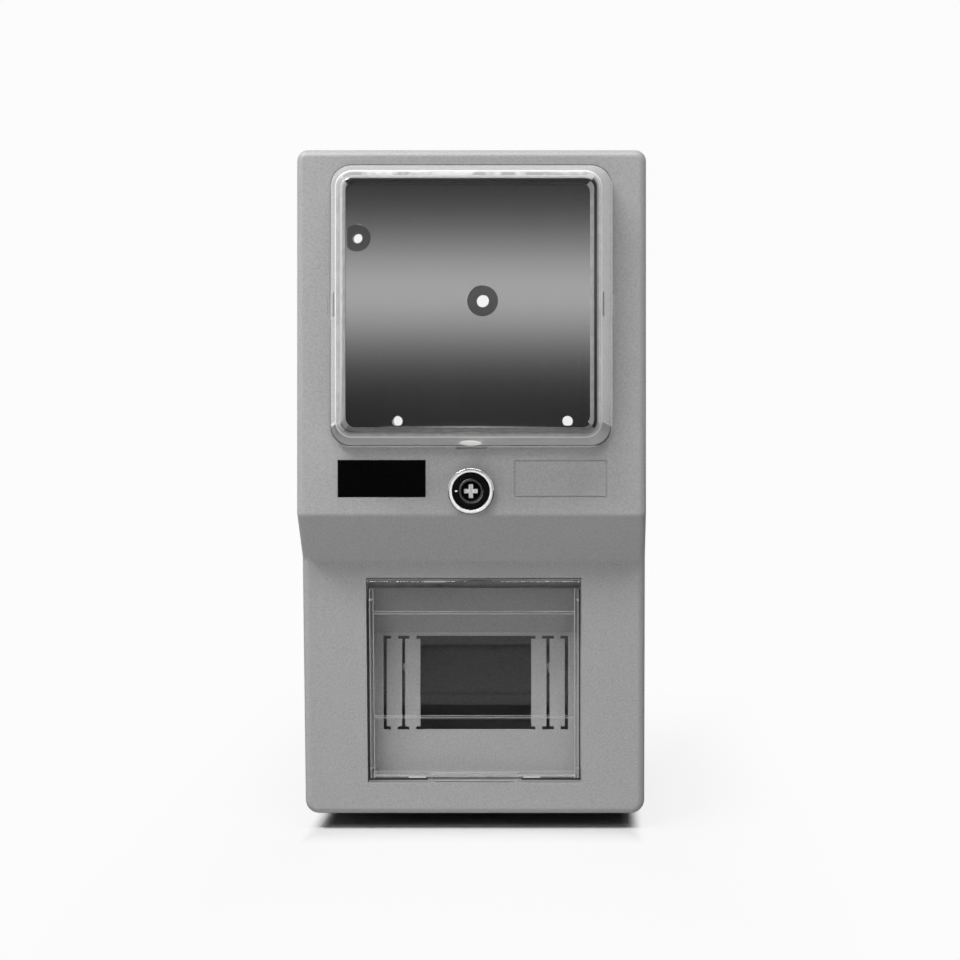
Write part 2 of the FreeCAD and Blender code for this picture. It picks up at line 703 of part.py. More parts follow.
def base_supports(body):
    """Bosses under the meter plate, rail posts, the keeper tower and the plate's side hooks."""
    bosses = front_view(body, "boss_outline", f"{BACK_INSIDE} + dim.back_wall / 2")
    for side in ("-", ""):
        circle(bosses, f"{side}{WALL_HOLE_SIDE}", WALL_HOLE_HEIGHT, "dim.wall_boss_radius")
        circle(bosses, f"{side}{LOWER_HOLE_SIDE}", LOWER_HOLE_HEIGHT, "dim.lower_boss_radius")
        circle(bosses, f"{side}{PLATE_SCREW_SIDE}", PLATE_SCREW_HEIGHT, "dim.plate_screw_boss")
    circle(bosses, "0", CENTRE_HOLE_HEIGHT, "dim.centre_boss_radius")
    extrude(body, "Pad", "bosses", bosses, f"{BACK_INSIDE} + dim.back_wall / 2 - {PLATE_BACK}")
    posts = front_view(body, "rail_post_outline", f"{BACK_INSIDE} + dim.back_wall / 2")
    for side in ("-", ""):
        rectangle(posts, f"{side}(dim.rail_slot_middle - dim.rail_post_width / 2)",
                  f"{side}(dim.rail_slot_middle + dim.rail_post_width / 2)",
                  "dim.cutout_centre - dim.rail_post_height / 2",
                  "dim.cutout_centre + dim.rail_post_height / 2")
    extrude(body, "Pad", "rail_posts", posts, f"{BACK_INSIDE} + dim.back_wall / 2 - {RAIL_BACK}")
    tower = front_view(body, "tower_outline", f"{BACK_INSIDE} + dim.back_wall / 2")
    rectangle(tower, "-dim.keeper_width / 2", "dim.keeper_width / 2", KEEPER_LOW, TOWER_TOP)
    extrude(body, "Pad", "tower", tower, f"{BACK_INSIDE} + dim.back_wall / 2 - {KEEPER_BACK}")
    core = front_view(body, "tower_core_outline", "dim.case_depth")
    rectangle(core, "dim.tower_wall - dim.keeper_width / 2", "dim.keeper_width / 2 - dim.tower_wall",
              f"{KEEPER_LOW} + dim.tower_wall", f"{TOWER_TOP} - dim.tower_wall")
    core_depth = f"dim.case_depth - {KEEPER_BACK} - dim.tower_cap"
    extrude(body, "Pocket", "tower_core", core, core_depth, reverse=True)
    hooks = front_view(body, "hook_outline", f"{PLATE_FRONT} - dim.hook_gap")
    for side in ("-", ""):
        rectangle(hooks, f"{side}({HALF_WIDTH} - dim.wall - dim.hook_reach)",
                  f"{side}({HALF_WIDTH} - dim.wall / 2)",
                  "dim.case_height - dim.hook_drop - dim.hook_length", "dim.case_height - dim.hook_drop")
    extrude(body, "Pad", "hooks", hooks, "dim.hook_thickness")


def base_holes(body):
    """Through holes to the wall, pilot holes of the screws and the cable knock-outs in the bottom."""
    through = front_view(body, "wall_hole_outline", PLATE_BACK)
    for side in ("-", ""):
        circle(through, f"{side}{WALL_HOLE_SIDE}", WALL_HOLE_HEIGHT, "dim.wall_hole_radius")
        circle(through, f"{side}{LOWER_HOLE_SIDE}", LOWER_HOLE_HEIGHT, "dim.lower_hole_radius")
    circle(through, "0", CENTRE_HOLE_HEIGHT, "dim.centre_hole_radius")
    extrude(body, "Pocket", "wall_holes", through, "dim.case_depth")
    pilots = (
        ("plate_pilots", PLATE_BACK, PLATE_SCREW_SIDE, PLATE_SCREW_HEIGHT),
        ("rail_pilots", RAIL_BACK, "dim.rail_slot_middle", "dim.cutout_centre"),
        ("keeper_pilots", KEEPER_BACK, "dim.keeper_screw_middle", KEEPER_SCREW_HEIGHT),
    )
    for name, depth, middle, height in pilots:
        outline = front_view(body, f"{name}_outline", depth)
        for side in ("-", ""):
            circle(outline, f"{side}{middle}", height, "dim.screw_radius + dim.screw_pilot_clearance")
        extrude(body, "Pocket", name, outline, "dim.screw_hold + dim.screw_clearance")
    groove = plan_view(body, "knockout_outline", "0")
    middle_depth = f"({BASE_RIM} + dim.case_depth) / 2"
    for side in ("-", ""):
        middle = f"{side}dim.knockout_middle"
        circle(groove, middle, middle_depth, "dim.knockout_radius")
        circle(groove, middle, middle_depth, "dim.knockout_radius - dim.knockout_groove")
    extrude(body, "Pocket", "knockout_grooves", groove, "dim.wall - dim.knockout_web", reverse=True)


def make_back_base():
    body = new_body("back_base")
    base_tray(body)
    base_supports(body)
    base_holes(body)
    place(body)


def make_meter_plate():
    """Sheet across the base with wide openings over three bosses and two plain lower holes."""
    body = new_body("meter_plate")
    edge = f"({HALF_WIDTH} - dim.wall - dim.plate_clearance)"
    outline = front_view(body, "plate_outline", PLATE_BACK)
    top = "dim.case_height - dim.wall - dim.plate_clearance"
    rounded_rectangle(outline, f"-{edge}", edge, PLATE_LOW, top, "dim.plate_corner", "dim.plate_corner")
    for side in ("-", ""):
        circle(outline, f"{side}{WALL_HOLE_SIDE}", WALL_HOLE_HEIGHT, "dim.wall_access_radius")
        circle(outline, f"{side}{LOWER_HOLE_SIDE}", LOWER_HOLE_HEIGHT, "dim.lower_hole_radius")
        circle(outline, f"{side}{PLATE_SCREW_SIDE}", PLATE_SCREW_HEIGHT,
               "dim.screw_radius + dim.screw_clearance")
    circle(outline, "0", CENTRE_HOLE_HEIGHT, "dim.centre_access_radius")
    extrude(body, "Pad", "plate", outline, "dim.plate_thickness")
    place(body)


def make_din_rail():
    """Top-hat rail folded from sheet, with a slot in its web at each screw."""
    body = new_body("din_rail")
    flange_back = f"{RAIL_FRONT} + dim.rail_thickness"
    web_front = f"{RAIL_BACK} - dim.rail_thickness"
    inside = "(dim.rail_hat_height / 2 - dim.rail_thickness)"
    hat = "dim.rail_hat_height / 2"
    edge = "dim.rail_height / 2"
    profile = side_view(body, "rail_profile")
    polygon(profile, [
        (RAIL_FRONT, edge), (RAIL_FRONT, inside), (web_front, inside), (web_front, f"-{inside}"),
        (RAIL_FRONT, f"-{inside}"), (RAIL_FRONT, f"-{edge}"), (flange_back, f"-{edge}"),
        (flange_back, f"-{hat}"), (RAIL_BACK, f"-{hat}"), (RAIL_BACK, hat), (flange_back, hat),
        (flange_back, edge),
    ])
    extrude(body, "Pad", "rail", profile, "dim.case_width - 2 * dim.rail_end_gap", symmetric=True)
    slots = front_view(body, "rail_slot_outline", RAIL_FRONT)
    for middle in ("-dim.rail_slot_middle", "dim.rail_slot_middle"):
        rounded_rectangle(slots,
                          f"{middle} - dim.rail_slot_length / 2", f"{middle} + dim.rail_slot_length / 2",
                          "-dim.rail_slot_width / 2", "dim.rail_slot_width / 2",
                          "dim.rail_slot_round", "dim.rail_slot_round")
    extrude(body, "Pocket", "rail_slots", slots, "2 * dim.rail_hat_depth")
    place(body, height="dim.cutout_centre")


def make_keeper_plate():
    """Steel lip on the tower that the turned cam goes behind."""
    body = new_body("keeper_plate")
    outline = front_view(body, "keeper_outline", KEEPER_BACK)
    rounded_rectangle(outline, "-dim.keeper_width / 2", "dim.keeper_width / 2",
                      KEEPER_LOW, KEEPER_HIGH, "dim.keeper_thickness", "dim.keeper_thickness")
    for side in ("-", ""):
        circle(outline, f"{side}dim.keeper_screw_middle", KEEPER_SCREW_HEIGHT,
               "dim.screw_radius + dim.screw_clearance")
    extrude(body, "Pad", "keeper", outline, "dim.keeper_thickness")
    place(body)


def make_screw(label, across, seat, height, grip):
    """Pan-head screw whose head seats on a sheet of the given grip."""
    body = new_body(label)
    profile = plan_view(body, f"{label}_profile", "0")
    polygon(profile, [
        ("0", "-dim.screw_head_height"), ("dim.screw_head_radius", "-dim.screw_head_height"),
        ("dim.screw_head_radius", "0"), ("dim.screw_radius", "0"),
        ("dim.screw_radius", f"{grip} + dim.screw_hold"), ("0", f"{grip} + dim.screw_hold"),
    ])
    revolve(body, f"{label}_turned", profile)
    crown = "-dim.screw_head_height"
    round_edges(body, f"{label}_crown", "dim.screw_head_round",
                lambda box: near(box.YMax, crown) and near(box.XMax, "dim.screw_head_radius"))
    place(body, across, seat, height)


def make_screws():
    rows = (
        ("meter_plate_screw", PLATE_SCREW_SIDE, PLATE_FRONT, PLATE_SCREW_HEIGHT, "dim.plate_thickness"),
        ("din_rail_screw", "dim.rail_slot_middle", f"({RAIL_BACK} - dim.rail_thickness)", "dim.cutout_centre",
         "dim.rail_thickness"),
        ("keeper_screw", "dim.keeper_screw_middle", "dim.keeper_depth", KEEPER_SCREW_HEIGHT,
         "dim.keeper_thickness"),
    )
    for name, middle, seat, height, grip in rows:
        for count, side in enumerate(("-", ""), start=1):
            make_screw(f"{name}_{count}", f"{side}{middle}", seat, height, grip)


def make_lock_barrel():
    """Bright bezel and sleeve, turned in one, with a dish for the key guide."""
    body = new_body("lock_barrel")
    bore = "(dim.plug_radius + dim.plug_clearance)"
    profile = plan_view(body, "barrel_profile", "0")
    polygon(profile, [
        ("dim.dish_radius", "-dim.bezel_proud"), ("dim.bezel_radius", "-dim.bezel_proud"),
        ("dim.bezel_radius", "0"), ("dim.barrel_radius", "0"), ("dim.barrel_radius", "dim.barrel_length"),
        (bore, "dim.barrel_length"), (bore, DISH_FLOOR), ("dim.dish_radius", DISH_FLOOR),
    ])
    revolve(body, "barrel", profile)
    round_edges(body, "bezel_edge", "dim.bezel_round",
                lambda box: near(box.YMax, "-dim.bezel_proud") and near(box.XMax, "dim.bezel_radius"))
    place(body, height=LOCK_HEIGHT)


def make_lock_key_guide():
    """Black ring in the bezel's dish, with an index pip beside the plug."""
    body = new_body("lock_key_guide")
    inner = "(dim.plug_radius + dim.guide_running_gap)"
    face = f"({DISH_FLOOR} - dim.guide_thickness)"
    ring = front_view(body, "guide_outline", DISH_FLOOR)
    circle(ring, "0", "0", "dim.dish_radius - dim.guide_clearance")
    circle(ring, "0", "0", inner)
    extrude(body, "Pad", "guide", ring, "dim.guide_thickness")
    pip = front_view(body, "index_outline", face)
    rectangle(pip, f"-({inner} + dim.guide_running_gap + dim.index_length)",
              f"-({inner} + dim.guide_running_gap)", "-dim.index_width / 2", "dim.index_width / 2")
    extrude(body, "Pad", "index", pip, "dim.index_height")
    place(body, height=LOCK_HEIGHT)


def make_lock_plug():
    """Turning plug: dished face with a raised cross, bearing in the barrel, long shaft and square end."""
    body = new_body("lock_plug")
    face = "(dim.plug_setback - dim.bezel_proud)"
    dish = f"({face} + dim.plug_dish_depth)"
    clip_front = "(dim.barrel_length + dim.clip_gap)"
    clip_back = f"({clip_front} + dim.clip_thickness + dim.clip_gap)"
    square_end = f"({CAM_BACK} - dim.cam_clearance)"
    profile = plan_view(body, "plug_profile", "0")
    polygon(profile, [
        ("0", dish), ("dim.plug_dish_radius", dish),
        ("dim.plug_dish_radius", face), ("dim.plug_radius", face),
        ("dim.plug_radius", "dim.barrel_length"), ("dim.shaft_radius", "dim.barrel_length"),
        ("dim.shaft_radius", clip_front), ("dim.clip_groove_radius", clip_front),
        ("dim.clip_groove_radius", clip_back), ("dim.shaft_radius", clip_back),
        ("dim.shaft_radius", CAM_FRONT), ("0", CAM_FRONT),
    ])
    revolve(body, "plug", profile)
    arm = "dim.cross_arm / 2"
    reach = "dim.cross_half_length"
    cross = front_view(body, "cross_outline", dish)
    polygon(cross, [
        (arm, arm), (arm, reach), (f"-{arm}", reach), (f"-{arm}", arm),
        (f"-{reach}", arm), (f"-{reach}", f"-{arm}"), (f"-{arm}", f"-{arm}"),
        (f"-{arm}", f"-{reach}"), (arm, f"-{reach}"), (arm, f"-{arm}"),
        (reach, f"-{arm}"), (reach, arm),
    ])
    extrude(body, "Pad", "cross", cross, "dim.cross_height")
    square = front_view(body, "square_outline", CAM_FRONT)
    half = "dim.cam_square / 2"
    rectangle(square, f"-{half}", half, f"-{half}", half)
    extrude(body, "Pad", "square", square, f"{square_end} - {CAM_FRONT}", reverse=True)
    pilot = front_view(body, "pilot_outline", square_end)
    circle(pilot, "0", "0", "dim.cam_screw_radius + dim.screw_pilot_clearance")
    extrude(body, "Pocket", "pilot", pilot, "dim.cam_screw_length", reverse=True)
    place(body, height=LOCK_HEIGHT)


def make_lock_circlip():
    """Ring in the shaft's groove that keeps the plug in its barrel."""
    body = new_body("lock_circlip")
    ring = front_view(body, "clip_outline", "dim.barrel_length + dim.clip_end_gap")
    circle(ring, "0", "0", "dim.clip_radius")
    circle(ring, "0", "0", "dim.clip_groove_radius + dim.screw_pilot_clearance")
    extrude(body, "Pad", "clip", ring, "dim.clip_thickness", reverse=True)
    place(body, height=LOCK_HEIGHT)


def make_lock_nut():
    """Hexagon nut behind the wall."""
    body = new_body("lock_nut")
    flat = "dim.nut_flats / 2"
    corner = "dim.nut_flats / 2 / cos(30)"
    half_corner = "dim.nut_flats / 2 * tan(30)"
    outline = front_view(body, "nut_outline", "dim.wall")
    polygon(outline, [
        (corner, "0"), (half_corner, flat), (f"-{half_corner}", flat),
        (f"-{corner}", "0"), (f"-{half_corner}", f"-{flat}"), (half_corner, f"-{flat}"),
    ])
    circle(outline, "0", "0", "dim.barrel_radius + dim.nut_clearance")
    extrude(body, "Pad", "nut", outline, "dim.nut_thickness", reverse=True)
    place(body, height=LOCK_HEIGHT)


def make_lock_cam():
    """Flat arm on the plug's square end, pointing sideways while the lock is open."""
    body = new_body("lock_cam")
    hole = "(dim.cam_square / 2 + dim.cam_clearance)"
    outline = front_view(body, "cam_outline", CAM_FRONT)
    half = "dim.cam_width / 2"
    rounded_rectangle(outline, f"-{half}", "dim.cam_reach", f"-{half}", half,
                      "dim.cam_width / 4", "dim.cam_width / 4")
    rectangle(outline, f"-{hole}", hole, f"-{hole}", hole)
    extrude(body, "Pad", "cam", outline, "dim.cam_thickness", reverse=True)
    place(body, height=LOCK_HEIGHT)


def make_cam_screw():
    """Screw that clamps the cam on the plug's end."""
    body = new_body("cam_screw")
    head_back = f"{CAM_BACK} + dim.screw_head_height"
    tip = f"{CAM_BACK} + dim.cam_gap - dim.cam_screw_length"
    profile = plan_view(body, "cam_screw_profile", "0")
    polygon(profile, [
        ("0", tip), ("dim.cam_screw_radius", tip), ("dim.cam_screw_radius", CAM_BACK),
        ("dim.cam_screw_head", CAM_BACK), ("dim.cam_screw_head", head_back), ("0", head_back),
    ])
    revolve(body, "cam_screw_turned", profile)
    round_edges(body, "cam_screw_crown", "dim.screw_head_round",
                lambda box: near(box.YMin, head_back) and near(box.XMax, "dim.cam_screw_head"))
    place(body, height=LOCK_HEIGHT)


def make_breaker_door():
    """Clear flap drawn about its hinge axis: barrel and pins on top, side walls, ribs, tab and snaps."""
    body = new_body("breaker_door")
    edge = "(dim.recess_width / 2 - dim.door_side_gap)"
    face = "(dim.door_setback - dim.door_axis_depth)"
    back = f"({face} + dim.door_thickness)"
    length = f"(({DOOR_AXIS_HEIGHT} - dim.recess_bottom - dim.door_bottom_gap) / cos({LEAN_ANGLE}))"
    sheet_outline = front_view(body, "door_outline", face)
    rectangle(sheet_outline, f"-{edge}", edge, f"-{length}", "0")
    extrude(body, "Pad", "door_sheet", sheet_outline, "dim.door_thickness", reverse=True)
    barrel = side_view(body, "door_barrel_outline")
    circle(barrel, "0", "0", "dim.door_barrel_radius")
    extrude(body, "Pad", "door_barrel", barrel, f"2 * {edge}", symmetric=True)
    pins = side_view(body, "door_pin_outline")
    circle(pins, "0", "0", "dim.door_pin_radius")
    extrude(body, "Pad", "door_pins", pins, "dim.recess_width + 2 * dim.door_pin_reach", symmetric=True)
    sides = front_view(body, "door_side_outline", face)
    for side in ("-", ""):
        rectangle(sides, f"{side}({edge} - dim.door_thickness)", f"{side}{edge}",
                  f"-{length}", "-dim.door_side_start")
    extrude(body, "Pad", "door_sides", sides, "dim.door_thickness + dim.door_side_depth", reverse=True)
    ribs = front_view(body, "door_rib_outline", back)
    upper_rib = f"({RECESS_TOP} - dim.door_upper_rib_drop)"
    lower_rib = "(dim.recess_bottom + dim.door_lower_rib_rise)"
    for height in (upper_rib, lower_rib):
        middle = f"(({height} - {DOOR_AXIS_HEIGHT}) / cos({LEAN_ANGLE}))"
        rectangle(ribs, f"dim.door_rib_margin - {edge}", f"{edge} - dim.door_rib_margin",
                  f"{middle} - dim.door_rib_height / 2", f"{middle} + dim.door_rib_height / 2")
    extrude(body, "Pad", "door_ribs", ribs, "dim.door_thickness + dim.door_rib_proud")
    tab = front_view(body, "door_tab_outline", back)
    tab_low = f"-({length} + dim.door_tab_drop)"
    tab_high = f"({tab_low} + dim.door_tab_height)"
    narrow = "(dim.door_tab_width / 2 - dim.door_tab_taper)"
    polygon(tab, [
        (f"-{narrow}", tab_low), (narrow, tab_low),
        ("dim.door_tab_width / 2", tab_high), ("-dim.door_tab_width / 2", tab_high),
    ])
    extrude(body, "Pad", "door_tab", tab, "dim.door_thickness + dim.door_tab_proud")
    snaps = front_view(body, "door_snap_outline", back)
    for side in ("-", ""):
        rectangle(snaps, f"{side}(dim.door_snap_middle - dim.door_snap_length / 2)",
                  f"{side}(dim.door_snap_middle + dim.door_snap_length / 2)",
                  f"-({length} + dim.door_snap_drop)", f"-{length} + dim.door_snap_drop")
    extrude(body, "Pad", "door_snaps", snaps, "dim.door_thickness")
    body.Placement = FreeCAD.Placement(
        FreeCAD.Vector(0, 0, 0), FreeCAD.Rotation(FreeCAD.Vector(1, 0, 0), number(LEAN_ANGLE)))
    body.setExpression("Placement.Rotation.Angle", LEAN_ANGLE)
    place(body, depth=DOOR_AXIS_DEPTH, height=DOOR_AXIS_HEIGHT)


def check_and_export():
    """Refuse a failed or invalid object, then write each piece to its own file."""
    doc.recompute()
    for item in doc.Objects:
        if "Invalid" in item.State or "Error" in item.State:
            raise RuntimeError(f"{item.Label} is in state {item.State}")
    bodies = [item for item in doc.Objects if item.TypeId == "PartDesign::Body"]
    for body in bodies:
        if body.Shape.isNull() or not body.Shape.isValid() or len(body.Shape.Solids) != 1:
            raise RuntimeError(f"{body.Label} is not one valid solid")
    os.makedirs("parts", exist_ok=True)
    for body in bodies:
        body.Shape.exportStep(f"parts/{body.Label}.step")


make_back_base()
make_front_cover()
make_cover_gasket()
make_meter_window()
make_label_plate()
make_meter_plate()
make_din_rail()
make_keeper_plate()
make_screws()
make_lock_barrel()
make_lock_key_guide()
make_lock_plug()
make_lock_circlip()
make_lock_nut()
make_lock_cam()
make_cam_screw()
make_breaker_door()
check_and_export()
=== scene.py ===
import functools
import json
import math

import bmesh
import bpy
import numpy as np
from bpy.props import FloatProperty, FloatVectorProperty, PointerProperty, StringProperty
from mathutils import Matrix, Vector


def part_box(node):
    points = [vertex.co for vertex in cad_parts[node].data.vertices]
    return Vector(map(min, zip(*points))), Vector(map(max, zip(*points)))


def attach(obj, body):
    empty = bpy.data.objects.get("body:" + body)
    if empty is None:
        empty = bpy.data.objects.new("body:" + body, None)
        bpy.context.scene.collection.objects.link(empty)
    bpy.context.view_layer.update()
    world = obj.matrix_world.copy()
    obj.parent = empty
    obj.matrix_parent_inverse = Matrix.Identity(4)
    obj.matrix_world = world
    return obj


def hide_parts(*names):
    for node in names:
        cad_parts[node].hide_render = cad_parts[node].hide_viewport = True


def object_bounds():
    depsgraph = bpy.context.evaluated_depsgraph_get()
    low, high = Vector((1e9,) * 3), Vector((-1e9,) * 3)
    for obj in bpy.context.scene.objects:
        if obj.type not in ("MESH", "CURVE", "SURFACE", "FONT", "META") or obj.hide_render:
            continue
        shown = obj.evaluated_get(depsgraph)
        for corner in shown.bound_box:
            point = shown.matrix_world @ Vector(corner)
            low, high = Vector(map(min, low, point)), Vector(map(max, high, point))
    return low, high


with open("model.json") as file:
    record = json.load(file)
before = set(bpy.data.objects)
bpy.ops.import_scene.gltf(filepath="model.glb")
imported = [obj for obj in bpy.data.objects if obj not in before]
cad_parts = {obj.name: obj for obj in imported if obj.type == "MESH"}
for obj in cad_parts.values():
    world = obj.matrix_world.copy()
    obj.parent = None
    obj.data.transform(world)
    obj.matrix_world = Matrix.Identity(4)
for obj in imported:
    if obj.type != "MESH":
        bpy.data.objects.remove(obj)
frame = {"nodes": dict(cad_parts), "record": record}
CAD_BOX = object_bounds()

bl_info = {
    "name": "Electric Meter Box",
    "version": (1, 0, 0),
    "blender": (4, 5, 0),
    "location": "View3D > Sidebar > Meter Box",
    "description": "Dresses the solids of a wall box for an electricity meter and its breakers",
    "category": "Object",
}

MM = 0.001
RECORD = frame["record"]
NODE_BODY = {node: body for body, nodes in RECORD["behaviour"]["bodies"].items() for node in nodes}
JOINT_PLACE = {row["name"]: row.get("pos_m") for row in RECORD["behaviour"]["joints"]}
COVER_LOW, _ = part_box("front_cover")
WINDOW_LOW, WINDOW_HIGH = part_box("meter_window")
BEZEL_LOW, BEZEL_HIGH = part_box("lock_barrel")
FACE_Y = COVER_LOW.y
WINDOW_CENTRE_Z = (WINDOW_LOW.z + WINDOW_HIGH.z) / 2
LOCK_CENTRE_Z = (BEZEL_LOW.z + BEZEL_HIGH.z) / 2

# The window's shell: rings on each quarter round, and how far inside it the rings on the flat front lie.
ROUND_RINGS = 9
FRONT_RINGS = np.array([0.9 * MM, 4 * MM])

# Cosine past which a face counts as facing a way.
FACING = 0.9

POLYCARBONATE_IOR = 1.58

# Brightness of the dark room that shiny surfaces mirror.
DARK_ROOM = 0.035

# Side of the picture in pixels, and the width of the sensor that the lens is given for.
FRAME_PX = 960
SENSOR_MM = 36


# Sizes and colours that a user would change.
def length(name, description, size_mm):
    """Property for a length, with its default in mm."""
    return FloatProperty(name=name, description=description, default=size_mm * MM, unit="LENGTH")


def number(name, description, default):
    """Property for a plain number."""
    return FloatProperty(name=name, description=description, default=default)


def colour(name, description, hex_colour):
    """Property for a colour, as an sRGB hex value."""
    return StringProperty(name=name, description=description, default=hex_colour)


class WindowSizes(bpy.types.PropertyGroup):
    """Sizes of the raised clear window"""

    base_size: length("Base size", "Width of the skirt where it meets the face", 128.5)
    front_size: length("Front size", "Width of the front before its shoulder is rounded", 120)
    base_corner: length("Base corner", "Corner radius at the face", 9.5)
    front_corner: length("Front corner", "Corner radius at the front", 8)
    shoulder: length("Shoulder", "Radius between the skirt and the front", 1.6)
    wall: length("Wall", "Thickness of the clear moulding", 2.4)
    flange: length("Flange", "Thickness of the flange behind the face", 2)
    neck: length("Neck", "Length of the neck through the face", 2.8)
    lug_depth: length("Lug depth", "Depth of a snap lug", 2.6)
    lug_reach: length("Lug reach", "How far a snap lug stands out of the skirt's base", 1.2)
    side_lug: length("Side lug", "Length of a snap lug at the side", 12)
    bottom_lug: length("Bottom lug", "Length of the snap lug below", 14.5)


class LockSizes(bpy.types.PropertyGroup):
    """Sizes of the lock's turned pieces"""

    bezel_radius: length("Bezel radius", "Outside of the bright ring", 10.5)
    bezel_proud: length("Bezel height", "How far the ring stands in front of the face", 3)
    bezel_round: length("Bezel round", "Rounding of the ring's front", 0.3)
    dish_radius: length("Dish radius", "Inside of the bright ring", 8.65)
    dish_floor: length("Dish floor", "Depth of the dish's floor, counted from the face", -0.4)
    barrel_radius: length("Barrel radius", "Sleeve through the face", 8.6)
    barrel_length: length("Barrel length", "Length of the sleeve", 16)
    guide_radius: length("Guide radius", "Outside of the black key guide", 8.55)
    guide_bore: length("Guide bore", "Inside of the black key guide", 5.6)
    guide_height: length("Guide height", "Thickness of the black key guide", 2)
    plug_radius: length("Plug radius", "Outside of the turning plug", 5.3)
    plug_front: length("Plug front", "Plane of the plug's rim, counted from the face", -2.2)
    plug_dish_depth: length("Plug dish depth", "Depth of the dish in the plug", 0.9)


class Finishes(bpy.types.PropertyGroup):
    """Colours, as sRGB hex values"""

    moulding: colour("Moulding", "Grey of the cover", "#acacac")
    moulding_fleck: colour("Fleck", "Darker grain of the cover", "#9a9a9a")
    base: colour("Base", "Dark grey of the back base", "#666666")
    base_fleck: colour("Base fleck", "Darker grain of the base", "#595959")
    label: colour("Label", "Black of the label plate", "#040404")
    guide: colour("Key guide", "Black of the lock's key guide", "#0a0a0a")
    plate: colour("Plate", "Bright steel sheet", "#c4c4c4")
    zinc: colour("Zinc", "Plated keeper and screws", "#a8a8a8")
    rail: colour("Rail", "Dull passivated rail", "#6a6a6a")
    chrome: colour("Chrome", "Plated lock pieces", "#f0f0f0")
    plug_rim: colour("Plug rim", "Worn rim of the lock's plug", "#949494")
    oxide: colour("Oxide", "Blackened dish of the lock's plug", "#161616")
    rubber: colour("Gasket", "Black rubber", "#1a1a1a")
    brass: colour("Nut", "Turned brass", "#b59a5b")
    clear: colour("Clear", "Clear polycarbonate", "#fbfbfb")
    # Painted light and shade: the greys, glints, gap shade and edge lines below stand in for light in clear
    # plastic.
    painted_wall_light: colour("Clear wall", "Light in a clear wall", "#c4c4c4")
    wall_streak: colour("Wall streak", "Darker streaks in a clear wall", "#b8b8b8")
    painted_dim_wall: colour("Dim wall", "A clear wall that shows what is behind it", "#949494")
    dim_streak: colour("Dim streak", "Darker streaks in a dim wall", "#8a8a8a")
    glint: colour("Glint", "Glints in the window's top wall", "#f2f2f2")
    glint_gap: colour("Glint gap", "Between the glints", "#b4b4b4")
    gap_shade: colour("Gap", "Shade of a gap, seen through a clear wall", "#2c2c2c")
    painted_window_edge: colour("Window edge", "Light at the window's edge", "#e0e0e0")
    painted_door_edge: colour("Door edge", "Light at the door's edges", "#b8b8b8")


class StageSettings(bpy.types.PropertyGroup):
    """Floor, light and camera"""

    background: colour("Background", "White behind the box", "#fcfcfc")
    floor: colour("Floor", "White table", "#d2d2d2")
    # Painted shade: the table's colour in the gap under the box.
    under: colour("Under", "Table in the gap under the box", "#8c8c8c")
    camera_place: FloatVectorProperty(
        name="Camera place", description="Where the lens stands", default=(0.0527, -0.943, 0.2),
        subtype="TRANSLATION", unit="LENGTH")
    lens: number("Lens", "Focal length in mm on a 36 mm sensor", 73.86)
    optical_centre: FloatVectorProperty(
        name="Optical centre", description="Pixel that a camera looking straight ahead has in its middle",
        size=2, default=(586.5, 390.0))
    gap: length("Gap", "Height of the block that the box stands on, hidden under it", 7.5)
    high: number("High", "Power of the two softboxes high before the box, in watts", 78.0)
    front: number("Front", "Power of the softbox before the box, in watts", 4.5)
    ambient: number("Ambient", "Light from the room", 0.06)
    strip: number("Strip", "Brightness of the strip that the plate mirrors", 0.7)


# Meshes.
def grid_faces(rows, columns, wrap_rows=False):
    """Quads of a grid whose columns go round; wrap_rows also joins the last row to the first."""
    row = np.arange(rows if wrap_rows else rows - 1)[:, None]
    column = np.arange(columns)[None, :]
    here = row * columns
    after = (row + 1) % rows * columns
    beside = (column + 1) % columns
    corners = (here + column, here + beside, after + beside, after + column)
    return np.stack(corners, axis=-1).reshape(-1, 4).tolist()


def cap(ring, columns):
    """Face that closes one ring of a grid."""
    return list(range(ring * columns, (ring + 1) * columns))


def lathe(profile, centre_z, steps=96):
    """Closed ring: each (radius, depth) of the profile is carried round the Y axis through the centre."""
    turn = np.arange(steps) * (2 * math.pi / steps)
    radius = profile[:, 0][:, None]
    depth = profile[:, 1][:, None]
    points = np.stack(np.broadcast_arrays(
        radius * np.cos(turn), FACE_Y + depth, centre_z + radius * np.sin(turn)), axis=-1)
    return points.reshape(-1, 3), grid_faces(len(profile), steps, wrap_rows=True)


def rectangle(half_width, half_height):
    """Corners of a rectangle about its middle, anticlockwise from the lower left."""
    return [(-half_width, -half_height), (half_width, -half_height),
            (half_width, half_height), (-half_width, half_height)]


def rounded(corners, radii, steps=5):
    """Outline through corners with each corner cut by a quadratic curve that starts a radius away from it."""
    corners = np.asarray(corners, float)
    radii = np.asarray(radii, float)[:, None]
    to_last = np.roll(corners, 1, axis=0) - corners
    to_next = np.roll(corners, -1, axis=0) - corners
    start = corners + radii * to_last / np.linalg.norm(to_last, axis=1, keepdims=True)
    end = corners + radii * to_next / np.linalg.norm(to_next, axis=1, keepdims=True)
    share = np.linspace(0, 1, steps)[None, :, None]
    start, middle, end = start[:, None], corners[:, None], end[:, None]
    curve = (1 - share) ** 2 * start + 2 * share * (1 - share) * middle + share ** 2 * end
    return curve.reshape(-1, 2)


def quarter_round(half, plane, radius):
    """Rings (half width, depth) from a skirt to a front plane: half - r (1 - cos) and plane + r (1 - sin)."""
    sweep = np.linspace(0, math.pi / 2, ROUND_RINGS)
    return np.column_stack([half - radius * (1 - np.cos(sweep)), plane + radius * (1 - np.sin(sweep))])


